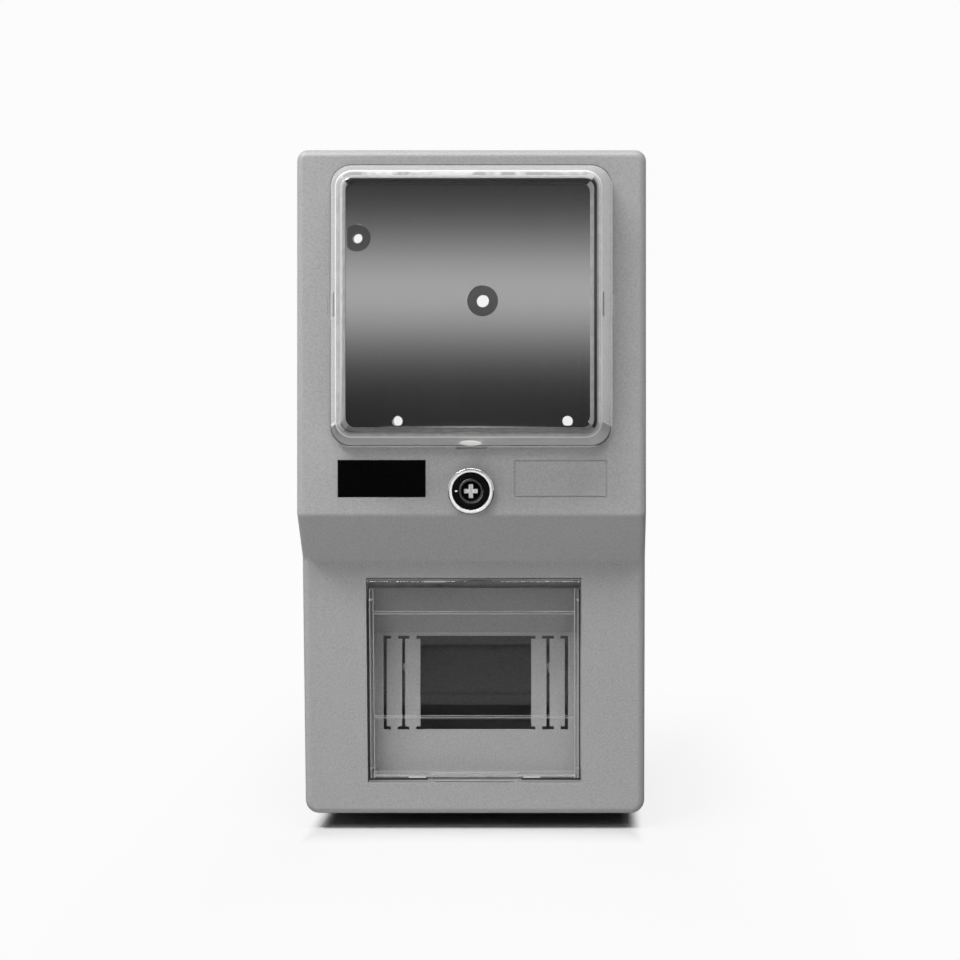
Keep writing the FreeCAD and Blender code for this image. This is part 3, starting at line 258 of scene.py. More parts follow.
def rounded_square_rings(half, straight, depth, steps=10):
    """Rings of a shell: at each depth a square of that half width, whose corner arcs start at straight."""
    turn = np.arange(4)[:, None] * (math.pi / 2) + np.linspace(0, math.pi / 2, steps)[None, :]
    turn = turn.ravel()
    side_x = np.repeat([1, -1, -1, 1], steps)
    side_z = np.repeat([1, 1, -1, -1], steps)
    corner = (half - straight)[:, None]
    across = side_x * straight[:, None] + corner * np.cos(turn)
    up = side_z * straight[:, None] + corner * np.sin(turn)
    points = np.stack(np.broadcast_arrays(across, FACE_Y + depth[:, None], WINDOW_CENTRE_Z + up), axis=-1)
    return points.reshape(-1, 3), 4 * steps


def prism(outline, front, back, centre_x, centre_z, bevel):
    """Outline (X, Z) carried from back to front, with a bevel at the front, and closed at both ends."""
    middle = outline.mean(axis=0)
    inner = middle + (outline - middle) * (1 - bevel / np.abs(outline - middle).max())
    rows = ((outline, back), (outline, front + bevel), (inner, front))
    points = np.concatenate([
        np.column_stack([centre_x + ring[:, 0], np.full(len(ring), FACE_Y + depth), centre_z + ring[:, 1]])
        for ring, depth in rows])
    count = len(outline)
    faces = grid_faces(len(rows), count)
    return points, faces + [cap(0, count), cap(len(rows) - 1, count)]


def bars(rows, axes):
    """Boxes, each (left, right, low, high, back, front) along the axes (start, right, up, out)."""
    start, right, up, out = (np.asarray(axis, float) for axis in axes)
    rows = np.array(rows)
    place = rows[:, [(i, j, k) for k in (4, 5) for j in (2, 3) for i in (0, 1)]]
    points = start + place[..., :1] * right + place[..., 1:2] * up + place[..., 2:] * out
    cube = np.array([(0, 2, 3, 1), (4, 5, 7, 6), (0, 1, 5, 4), (1, 3, 7, 5), (3, 2, 6, 7), (2, 0, 4, 6)])
    faces = cube[None] + 8 * np.arange(len(rows))[:, None, None]
    return points.reshape(-1, 3), faces.reshape(-1, 4).tolist()


def dome(axes, half_sizes, steps=40, rows=13):
    """Closed ellipsoid along (start, right, up, out): cos cos, cos sin and sin times its half sizes."""
    start, right, up, out = (np.asarray(axis, float) for axis in axes)
    turn = np.arange(steps)[None, :] * (2 * math.pi / steps)
    rise = np.linspace(-math.pi / 2, math.pi / 2, rows + 2)[1:-1, None]
    place = np.stack(np.broadcast_arrays(
        half_sizes[0] * np.cos(rise) * np.cos(turn), half_sizes[1] * np.cos(rise) * np.sin(turn),
        half_sizes[2] * np.sin(rise)), axis=-1).reshape(-1, 3)
    faces = grid_faces(rows, steps) + [cap(0, steps), cap(rows - 1, steps)]
    return start + place @ np.stack([right, up, out]), faces


def face_facts(mesh):
    """Centre, normal and area of every face, as arrays."""
    count = len(mesh.polygons)
    centre, normal, area = np.empty(3 * count), np.empty(3 * count), np.empty(count)
    mesh.polygons.foreach_get("center", centre)
    mesh.polygons.foreach_get("normal", normal)
    mesh.polygons.foreach_get("area", area)
    return centre.reshape(-1, 3), normal.reshape(-1, 3), area


def smooth_by_angle(mesh, degrees):
    """Shade faces smoothly, but keep the edges sharp that turn by more than an angle."""
    mesh.polygons.foreach_set("use_smooth", np.ones(len(mesh.polygons), bool))
    mesh.set_sharp_from_angle(angle=math.radians(degrees))


def keep_flats(piece):
    """Let the large flat faces set the shading, so that only the rounds between them are curved."""
    even = piece.modifiers.new("flat faces", "WEIGHTED_NORMAL")
    even.keep_sharp = True
    even.weight = 100


def coat(mesh, materials):
    """Give a mesh its finishes, in place of those that it has."""
    mesh.materials.clear()
    for finish in materials:
        mesh.materials.append(finish)


def paint(node, finish):
    """Give a solid that is shown as it is its finish."""
    coat(frame["nodes"][node].data, [finish])


def add_piece(name, mesh, node, stands_for):
    """Object on a node's body; stands_for shows it in the node's place."""
    piece = bpy.data.objects.new(name, mesh)
    bpy.context.scene.collection.objects.link(piece)
    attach(piece, NODE_BODY[node])
    if stands_for:
        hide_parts(node)
    return piece


def new_piece(name, points, faces, materials, node, stands_for=False):
    """Piece from points and faces, with its faces turned outwards."""
    mesh = bpy.data.meshes.new(name)
    mesh.from_pydata(points.tolist(), [], faces)
    shell = bmesh.new()
    shell.from_mesh(mesh)
    bmesh.ops.recalc_face_normals(shell, faces=shell.faces)
    shell.to_mesh(mesh)
    shell.free()
    smooth_by_angle(mesh, degrees=35)
    coat(mesh, materials)
    return add_piece(name, mesh, node, stands_for)


def smooth_copy(node, name, materials, degrees=24):
    """Copy of a solid with its triangles joined, so that rounds shade smoothly and flats stay flat."""
    mesh = frame["nodes"][node].data.copy()
    mesh.name = name
    solid = bmesh.new()
    solid.from_mesh(mesh)
    bmesh.ops.remove_doubles(solid, verts=solid.verts, dist=0.002 * MM)
    bmesh.ops.dissolve_limit(solid, angle_limit=math.radians(0.5), verts=solid.verts, edges=solid.edges)
    solid.to_mesh(mesh)
    solid.free()
    if "custom_normal" in mesh.attributes:
        mesh.attributes.remove(mesh.attributes["custom_normal"])
    smooth_by_angle(mesh, degrees)
    coat(mesh, materials)
    piece = add_piece(name, mesh, node, stands_for=True)
    keep_flats(piece)
    return piece


# Materials.
def finishes():
    """Colours that the user has set."""
    return bpy.context.scene.meter_box_finishes


def linear(hex_colour):
    """Linear RGBA of an sRGB hex value."""
    parts = np.array([int(hex_colour[i:i + 2], 16) for i in (1, 3, 5)]) / 255
    low = parts / 12.92
    high = ((parts + 0.055) / 1.055) ** 2.4
    return (*np.where(parts <= 0.04045, low, high).tolist(), 1.0)


def per_metre(size_mm):
    """Texture scale on Object coordinates for a feature of a size in mm."""
    return 1 / (size_mm * MM)


def add_node(tree, kind, values=None, links=None, **settings):
    """Shader node of a kind with its socket values, its settings, and links from sockets or first outputs."""
    node = tree.nodes.new("ShaderNode" + kind)
    for name, value in settings.items():
        setattr(node, name, value)
    for name, value in (values or {}).items():
        node.inputs[name].default_value = value
    for name, source in (links or {}).items():
        socket = source.outputs[0] if isinstance(source, bpy.types.Node) else source
        tree.links.new(socket, node.inputs[name])
    return node


def material(lay_nodes):
    """Turn a function that lays nodes and gives the last one into one that gives the material, made once."""
    @functools.wraps(lay_nodes)
    def made_once(name=lay_nodes.__name__, *values, **settings):
        made = bpy.data.materials.get(name)
        if made is None:
            made = bpy.data.materials.new(name)
            made.use_nodes = True
            tree = made.node_tree
            tree.nodes.clear()
            add_node(tree, "OutputMaterial", links={"Surface": lay_nodes(tree, *values, **settings)})
        return made
    return made_once


def grain(tree, size_mm, colours, spread, strength, height_mm, **noise):
    """Spots of a size in mm: noise whose middle values, within a spread, go from one colour to the other.

    Gives nodes for the spots as values from 0 to 1, for their colours and for the normals of their relief.
    """
    place = add_node(tree, "TexCoord")
    spots = add_node(tree, "TexNoise", {"Scale": per_metre(size_mm), **noise},
                     {"Vector": place.outputs["Object"]})
    contrast = add_node(tree, "MapRange", {"From Min": 0.5 - spread, "From Max": 0.5 + spread},
                        {"Value": spots})
    tint = add_node(tree, "ValToRGB", links={"Fac": contrast})
    for stop, tone in zip(tint.color_ramp.elements, colours):
        stop.color = tone
    relief = add_node(tree, "Bump", {"Strength": strength, "Distance": height_mm * MM}, {"Height": spots})
    return contrast, tint, relief


@material
def moulded_abs(tree, body_colour, fleck):
    """ABS from a spark-eroded mould: matt, with a grain of darker flecks, drawn coarse enough to show."""
    _, tint, relief = grain(tree, size_mm=0.7, colours=(linear(fleck), linear(body_colour)), spread=0.14,
                            strength=0.15, height_mm=0.15, Detail=3.0, Roughness=0.7)
    return add_node(tree, "BsdfPrincipled", {"Roughness": 0.45, "IOR": 1.5},
                    {"Base Color": tint, "Normal": relief})


@material
def grained(tree, hex_colour, roughness, metallic=0.0, gloss=0.5):
    """Even finish with a grain, drawn coarse enough to show: spots a little darker, duller and lower."""
    bright = np.array(linear(hex_colour))
    spot = bright * (0.9, 0.9, 0.9, 1.0)
    spots, tint, relief = grain(tree, size_mm=0.8, colours=(spot.tolist(), bright.tolist()), spread=0.15,
                                strength=0.04, height_mm=0.05, Detail=2.0)
    dull = add_node(tree, "MapRange", {"To Min": 1.15 * roughness, "To Max": 0.9 * roughness},
                    {"Value": spots})
    return add_node(tree, "BsdfPrincipled", {"Metallic": metallic, "Specular IOR Level": gloss},
                    {"Base Color": tint, "Roughness": dull, "Normal": relief})


def gasket_rubber():
    """Moulded rubber: black and matt."""
    return grained("gasket_rubber", finishes().rubber, roughness=0.8)


def label_laminate():
    """Laminate of the label plate: deep black, with a weak sheen."""
    return grained("label_laminate", finishes().label, roughness=0.25, gloss=0.1)


def moulded_nylon():
    """Moulded nylon of the key guide: black, with a weak sheen."""
    return grained("moulded_nylon", finishes().guide, roughness=0.3, gloss=0.2)


def polished_chrome():
    """Polished chrome plate of the bezel: a bright and nearly sharp mirror."""
    return grained("polished_chrome", finishes().chrome, roughness=0.08, metallic=1.0)


def satin_chrome():
    """Satin chrome plate of the plug: bright, with softer reflections."""
    return grained("satin_chrome", finishes().chrome, roughness=0.14, metallic=1.0)


def worn_chrome():
    """Chrome plate of the plug's rim, worn by keys: dimmer and blurred."""
    return grained("worn_chrome", finishes().plug_rim, roughness=0.3, metallic=1.0)


def black_oxide():
    """Blackened metal in the plug's dish: nearly black, with a faint sheen."""
    return grained("black_oxide", finishes().oxide, roughness=0.45, metallic=1.0)


def zinc_plated_steel():
    """Zinc-plated pressings and screws: pale grey metal with blurred reflections."""
    return grained("zinc_plated_steel", finishes().zinc, roughness=0.38, metallic=1.0)


def passivated_steel():
    """Passivated steel of the rail: dull grey metal."""
    return grained("passivated_steel", finishes().rail, roughness=0.5, metallic=1.0)


def turned_brass():
    """Turned brass: yellow metal with soft reflections."""
    return grained("turned_brass", finishes().brass, roughness=0.3, metallic=1.0)


@material
def brushed_steel(tree):
    """Bright steel sheet brushed up and down: its gloss spreads across and stays narrow in height.

    The brush's lines are drawn coarse enough to show.
    """
    place = add_node(tree, "TexCoord")
    line_mm, stroke_mm = 0.8, 60
    line, stroke = per_metre(line_mm), per_metre(stroke_mm)
    drawn = add_node(tree, "Mapping", {"Scale": (line, line, stroke)}, {"Vector": place.outputs["Object"]})
    lines = add_node(tree, "TexNoise", {"Scale": 1.0, "Detail": 2.0}, {"Vector": drawn})
    dull = add_node(tree, "MapRange", {"From Min": 0.3, "From Max": 0.7, "To Min": 0.092, "To Max": 0.108},
                    {"Value": lines})
    across = add_node(tree, "Tangent", direction_type="RADIAL", axis="Z")
    return add_node(tree, "BsdfPrincipled",
                    {"Base Color": linear(finishes().plate), "Metallic": 1.0, "Anisotropic": 0.6},
                    {"Tangent": across, "Roughness": dull})


def let_through(tree, shader, lamps):
    """Last node of a clear material, with the share of the lamps' light that goes straight through it."""
    path = add_node(tree, "LightPath")
    share = add_node(tree, "Math", {1: lamps}, {0: path.outputs["Is Shadow Ray"]}, operation="MULTIPLY")
    return add_node(tree, "MixShader", links={0: share, 1: shader, 2: add_node(tree, "BsdfTransparent")})


@material
def clear_polycarbonate(tree):
    """Clear moulded polycarbonate: smooth, and shows what is behind it."""
    shader = add_node(tree, "BsdfPrincipled", {
        "Base Color": linear(finishes().clear), "Roughness": 0.02, "IOR": POLYCARBONATE_IOR,
        "Transmission Weight": 1.0})
    return let_through(tree, shader, lamps=0.92)


@material
def painted_wall_polycarbonate(tree, light, streak, lamps=0.62, clearness=0.5, ripple_mm=4):
    """Wall of a clear moulding painted grey with soft streaks: painted light for the light that runs in the
    plastic.
    """
    _, tint, relief = grain(tree, ripple_mm, (linear(streak), linear(light)), spread=0.1,
                            strength=0.015, height_mm=0.3, Detail=1.0)
    shader = add_node(tree, "BsdfPrincipled", {
        "Roughness": 0.2, "IOR": POLYCARBONATE_IOR, "Specular IOR Level": 0.15,
        "Transmission Weight": clearness}, {"Base Color": tint, "Normal": relief})
    return let_through(tree, shader, lamps)


def painted_light_wall():
    """Painted light: pale grey for a clear wall with much light in it."""
    finish = finishes()
    return painted_wall_polycarbonate("painted_light_wall_polycarbonate", finish.painted_wall_light, finish.wall_streak)


def painted_dim_wall():
    """Painted shade: mid grey for a clear wall with little light in it."""
    finish = finishes()
    return painted_wall_polycarbonate("painted_dim_wall_polycarbonate", finish.painted_dim_wall, finish.dim_streak)


def painted_foot_wall():
    """Foot of a clear wall: painted mid grey shade, and stops the lamps' light, so that it throws a shadow.
    """
    finish = finishes()
    return painted_wall_polycarbonate("painted_foot_wall_polycarbonate", finish.painted_dim_wall, finish.dim_streak,
                              lamps=0.05, clearness=0.05)


def painted_glint_wall():
    """Painted highlight: glints on pale grey in the clear wall below the top light."""
    finish = finishes()
    return painted_wall_polycarbonate("painted_glint_wall_polycarbonate", finish.glint, finish.glint_gap, ripple_mm=6)


@material
def painted_edge_polycarbonate(tree, light, glow):
    """Painted highlight on a rounded edge of a clear moulding: a bright line, which may also glow."""
    shader = add_node(tree, "BsdfPrincipled", {
        "Base Color": linear(light), "Roughness": 0.1, "IOR": POLYCARBONATE_IOR, "Transmission Weight": 0.1,
        "Emission Color": linear(light), "Emission Strength": glow})
    return let_through(tree, shader, lamps=0.6)


def painted_window_edge():
    """Painted highlight: a white line on the edge of the window's front."""
    return painted_edge_polycarbonate("painted_window_edge_polycarbonate", finishes().painted_window_edge, glow=0.0)


def painted_door_edge():
    """Painted highlight: light grey lines on the edges of the door's thinner sheet, with a faint glow."""
    return painted_edge_polycarbonate("painted_door_edge_polycarbonate", finishes().painted_door_edge, glow=0.02)


def painted_pad_glint():
    """Painted highlight on the thumb pad: a glowing white spot for the light from inside the skirt."""
    return painted_edge_polycarbonate("painted_glint_polycarbonate", finishes().painted_window_edge, glow=0.35)


@material
def painted_shade_polycarbonate(tree):
    """Painted shade: dark grey for what is dark behind a clear moulding, such as the gap beside the door."""
    return add_node(tree, "BsdfPrincipled", {
        "Base Color": linear(finishes().gap_shade), "Roughness": 0.3, "IOR": POLYCARBONATE_IOR,
        "Specular IOR Level": 0.15})


def ray_kinds(tree):
    """Sources that are 1 for what the eye sees, for what is mirrored, and for a ray not scattered before."""
    path = add_node(tree, "LightPath")
    seen = add_node(tree, "Math", links={
        0: path.outputs["Is Camera Ray"], 1: path.outputs["Is Transmission Ray"]}, operation="MAXIMUM")
    direct = add_node(tree, "Math", {1: 0.5}, {0: path.outputs["Diffuse Depth"]}, operation="LESS_THAN")
    return seen, path.outputs["Is Glossy Ray"], direct


def footprint_reach(tree):
    """Distance outside the box's footprint: |x - middle| - half, or that of y if larger.

    The distance in front of and behind the box counts a quarter, so that the shadow reaches farther there.
    """
    low, high = np.array([(-72, -13), (72, 64)]) * MM
    fall = (1.0, 0.25, 0.0)
    place = add_node(tree, "TexCoord")
    centred = add_node(tree, "VectorMath", {1: (*(low + high) / 2, 0.0)}, {0: place.outputs["Object"]},
                       operation="SUBTRACT")
    folded = add_node(tree, "VectorMath", links={0: centred}, operation="ABSOLUTE")
    outside = add_node(tree, "VectorMath", {1: (*(high - low) / 2, 0.0)}, {0: folded}, operation="SUBTRACT")
    spread = add_node(tree, "VectorMath", {1: fall}, {0: outside}, operation="MULTIPLY")
    sides = add_node(tree, "SeparateXYZ", links={"Vector": spread})
    return add_node(tree, "Math", links={0: sides.outputs["X"], 1: sides.outputs["Y"]}, operation="MAXIMUM")


@material
def white_table(tree):
    """White paper: keeps the shadow near the box, turns into the background off it, dark in metal; painted
    shade under the box.
    """
    setting = bpy.context.scene.meter_box_stage
    reach = footprint_reach(tree)
    near_reach, far_reach, under_shade_reach = 8 * MM, 90 * MM, 3 * MM
    near_share = 0.86
    near = add_node(tree, "MapRange", {"From Max": near_reach, "To Max": near_share}, {"Value": reach},
                    interpolation_type="SMOOTHSTEP")
    far = add_node(tree, "MapRange", {"From Max": far_reach, "To Max": 1 - near_share}, {"Value": reach})
    away = add_node(tree, "Math", links={0: near, 1: far}, operation="ADD")
    # Painted shade: inside the box's footprint the paper goes over into the darker under colour.
    under = add_node(tree, "MapRange", {"From Min": -under_shade_reach, "From Max": 0.0}, {"Value": reach})
    tone = add_node(tree, "ValToRGB", links={"Fac": under})
    tone.color_ramp.elements[0].color = linear(setting.under)
    tone.color_ramp.elements[1].color = linear(setting.floor)
    paper = add_node(tree, "BsdfPrincipled", {"Roughness": 1.0, "Specular IOR Level": 0.0},
                     {"Base Color": tone})
    white = add_node(tree, "Emission", {"Color": linear(setting.background), "Strength": 1.0})
    dim = add_node(tree, "Emission", {"Strength": 0.02})
    seen, mirrored, direct = ray_kinds(tree)
    share = add_node(tree, "Math", links={0: away, 1: seen}, operation="MULTIPLY")
    shown = add_node(tree, "MixShader", links={0: share, 1: paper, 2: white})
    dimmed = add_node(tree, "Math", links={0: mirrored, 1: direct}, operation="MULTIPLY")
    return add_node(tree, "MixShader", links={0: dimmed, 1: shown, 2: dim})


@material
def glowing_card(tree, strength, bell):
    """Even glow, or one that fades above and below a height as exp(-(offset / width)^2 / 2)."""
    if bell is None:
        return add_node(tree, "Emission", {"Strength": strength})
    height, width = bell
    place = add_node(tree, "TexCoord")
    parts = add_node(tree, "SeparateXYZ", links={"Vector": place.outputs["Object"]})
    offset = add_node(tree, "MapRange", {"From Min": height, "From Max": height + width},
                      {"Value": parts.outputs["Z"]}, clamp=False)
    square = add_node(tree, "Math", links={0: offset, 1: offset}, operation="MULTIPLY")
    fall = add_node(tree, "Math", {0: math.exp(-0.5)}, {1: square}, operation="POWER")
    level = add_node(tree, "MapRange", {"To Min": DARK_ROOM, "To Max": strength}, {"Value": fall})
    return add_node(tree, "Emission", links={"Strength": level})


# Operators.
class MeterBoxOperator:
    """What the operators have in common"""

    bl_options = {"REGISTER", "UNDO"}


class METERBOX_OT_case(MeterBoxOperator, bpy.types.Operator):
    """Dress the moulded cover, its gasket and the base"""

    bl_idname = "meter_box.case"
    bl_label = "Case"

    def execute(self, context):
        finish = finishes()
        light_grey = moulded_abs("light_grey_abs", finish.moulding, finish.moulding_fleck)
        dark_grey = moulded_abs("dark_grey_abs", finish.base, finish.base_fleck)
        cover = smooth_copy("front_cover", "moulded_cover", [light_grey])
        base = smooth_copy("back_base", "moulded_base", [dark_grey])
        cover.visible_glossy = base.visible_glossy = False
        paint("cover_gasket", gasket_rubber())
        return {"FINISHED"}


class METERBOX_OT_window(MeterBoxOperator, bpy.types.Operator):
    """Make the raised clear window as one closed shell, with its snap lugs, clips and thumb pad"""

    bl_idname = "meter_box.window"
    bl_label = "Window"

    def execute(self, context):
        size = context.scene.meter_box_window
        base_half = size.base_size / 2
        outer_round = quarter_round(size.front_size / 2, WINDOW_LOW.y - FACE_Y, size.shoulder)
        self.shell(size, base_half, outer_round)
        self.lugs(size, base_half)
        self.clips(base_half, *outer_round[0])
        return {"FINISHED"}

    def shell(self, size, base_half, outer_round):
        """Rounded squares along a section (half width, depth): up the outside, then down the inside.

        The straight part of a side goes in a line from its length at the base to that at the front.
        """
        front = WINDOW_LOW.y - FACE_Y
        front_half = size.front_size / 2
        flange_half = (WINDOW_HIGH.x - WINDOW_LOW.x) / 2
        hollow_half = base_half - size.wall
        back = size.neck + size.flange
        step_in = 0.4 * MM
        foot = 2.7 * MM
        foot_half = base_half + (outer_round[0, 0] - base_half) * foot / -outer_round[0, 1]
        inner_round = quarter_round(front_half - size.wall, front + size.wall, size.wall)
        skirt = [(flange_half, back), (flange_half, size.neck), (base_half + step_in, size.neck),
                 (base_half, size.neck - step_in), (base_half, 0), (foot_half, -foot)]
        outer_flat = [(outer_round[-1, 0] - inset, front) for inset in FRONT_RINGS]
        inner_flat = [(inner_round[-1, 0] - inset, front + size.wall) for inset in FRONT_RINGS[::-1]]
        hollow = [(hollow_half, 0), (hollow_half, back)]
        outside = np.concatenate([skirt, outer_round, outer_flat])
        inside = np.concatenate([inner_flat, inner_round[::-1], hollow])
        half, depth = np.concatenate([outside, inside]).T
        draft = np.clip(1 - depth / front, 0, 1)
        base_straight = base_half - size.base_corner
        front_straight = front_half - size.front_corner
        most_straight = 0.92 * half
        straight = np.minimum(front_straight + (base_straight - front_straight) * draft, most_straight)
        points, count = rounded_square_rings(half, straight, depth)
        split = len(outside)
        faces = grid_faces(len(half), count, wrap_rows=True)
        del faces[(split - 1) * count:split * count]
        faces += [cap(split - 1, count), cap(split, count)]
        # Clear plastic, and painted light and shade for the walls: pale, dim and dark greys, bright edge
        # lines and glints.
        looks = {
            "clear": clear_polycarbonate(), "wall": painted_light_wall(), "edge": painted_window_edge(), "foot": painted_foot_wall(),
            "dim": painted_dim_wall(), "dark": painted_shade_polycarbonate(), "glints": painted_glint_wall(),
        }
        window = new_piece("clear_window", points, faces, looks.values(), "meter_window", stands_for=True)
        shade = self.shades(len(half), count, split, list(looks))
        front_faces = 2
        face_shade = np.zeros(len(faces), np.int32)
        face_shade[:-front_faces] = np.delete(shade, split - 1, axis=0).ravel()
        window.data.polygons.foreach_set("material_index", face_shade)
        window.visible_glossy = False

    def shades(self, rings, count, split, looks):
        """Painted light and shade on each face of the grid of rings, by side and slope, for what a clear wall
        shows.
        """
        around = np.arange(count)
        right, top, _, bottom = np.roll(around, count // 8).reshape(4, -1)
        low_skirt = around[count // 2:-1]
        outer = split - len(FRONT_RINGS) - ROUND_RINGS
        outer_end = outer + ROUND_RINGS - 1
        inner = split + len(FRONT_RINGS)
        inner_end = inner + ROUND_RINGS - 1
        # Rows of the painted bright line, the painted glints at the top and the painted dark bands at the top
        # and right.
        line_end = outer + 5
        glint_start = outer + 6
        top_dark_end = inner + 3
        right_dark_start = inner + 2
        # First row, row after the last, columns and finish; a later line goes over an earlier one.
        regions = (
            (outer - 2, outer - 1, around, "foot"),
            (outer - 1, outer, around, "dim"),
            (outer, line_end, around, "edge"),
            (line_end, outer_end + 1, around, "wall"),
            (inner, inner_end + 1, around, "wall"),
            (outer - 1, outer, low_skirt, "edge"),
            (glint_start, outer_end + 1, top, "glints"),
            (inner, top_dark_end, top, "dark"),
            (top_dark_end, inner_end, top, "dim"),
            (outer_end, outer_end + 1, right, "dim"),
            (inner - 1, inner, right, "wall"),
            (right_dark_start, inner_end, right, "dark"),
            (inner, inner_end, bottom, "dim"),
            (outer_end, outer_end + 1, bottom, "dim"),
        )
        shade = np.zeros((rings, count), np.int32)
        for start, end, columns, look in regions:
            shade[start:end, columns] = looks.index(look)
        return shade

    def lugs(self, size, base_half):
        """Rounded bars at the skirt's base that snap over the face, sunk in by a quarter of the wall."""
        reach = size.lug_reach + size.wall / 4
        middle = base_half + size.lug_reach - reach / 2
        corner = 0.45 * reach
        bevel = 0.4 * MM
        off_face = 0.3 * MM
        rows = (
            ("left", -middle, 0, reach / 2, size.side_lug / 2),
            ("right", middle, 0, reach / 2, size.side_lug / 2),
            ("bottom", 0, -middle, size.bottom_lug / 2, reach / 2),
        )
        for side, across, up, half_x, half_z in rows:
            outline = rounded(rectangle(half_x, half_z), [corner] * 4)
            points, faces = prism(outline, -size.lug_depth, -off_face, across, WINDOW_CENTRE_Z + up, bevel)
            lug = new_piece(f"window_lug_{side}", points, faces, [clear_polycarbonate()], "meter_window")
            lug.visible_glossy = False

    def clips(self, base_half, front_half, front_depth):
        """Painted shade bars at the side clips, and the thumb pad below with a painted glint, each at a share
        of the skirt.
        """
        slope = np.array([front_half - base_half, front_depth])
        inwards, forwards = slope / np.hypot(*slope)
        clip_half_height = 5.4 * MM
        sunk, proud = -0.3 * MM, 0.1 * MM
        for side, sign, share, half_width in (("left", -1, 0.71, 2.8 * MM), ("right", 1, 0.93, 1.3 * MM)):
            start = (sign * (base_half + share * slope[0]), FACE_Y + share * slope[1], WINDOW_CENTRE_Z)
            axes = (start, (sign * inwards, forwards, 0), (0, 0, 1), (-sign * forwards, inwards, 0))
            box = (-half_width, half_width, -clip_half_height, clip_half_height, sunk, proud)
            points, faces = bars([box], axes)
            clip = new_piece(f"window_clip_{side}", points, faces, [painted_shade_polycarbonate()], "meter_window")
            clip.visible_glossy = False
        pad_share = 0.4
        pad_half_sizes = (5 * MM, 6 * MM, 0.4 * MM)
        start = (0, FACE_Y + pad_share * slope[1], WINDOW_CENTRE_Z - base_half - pad_share * slope[0])
        axes = (start, (1, 0, 0), (0, forwards, -inwards), (0, inwards, forwards))
        pad = new_piece("window_thumb_pad", *dome(axes, pad_half_sizes), [painted_pad_glint()], "meter_window")
        pad.visible_glossy = False


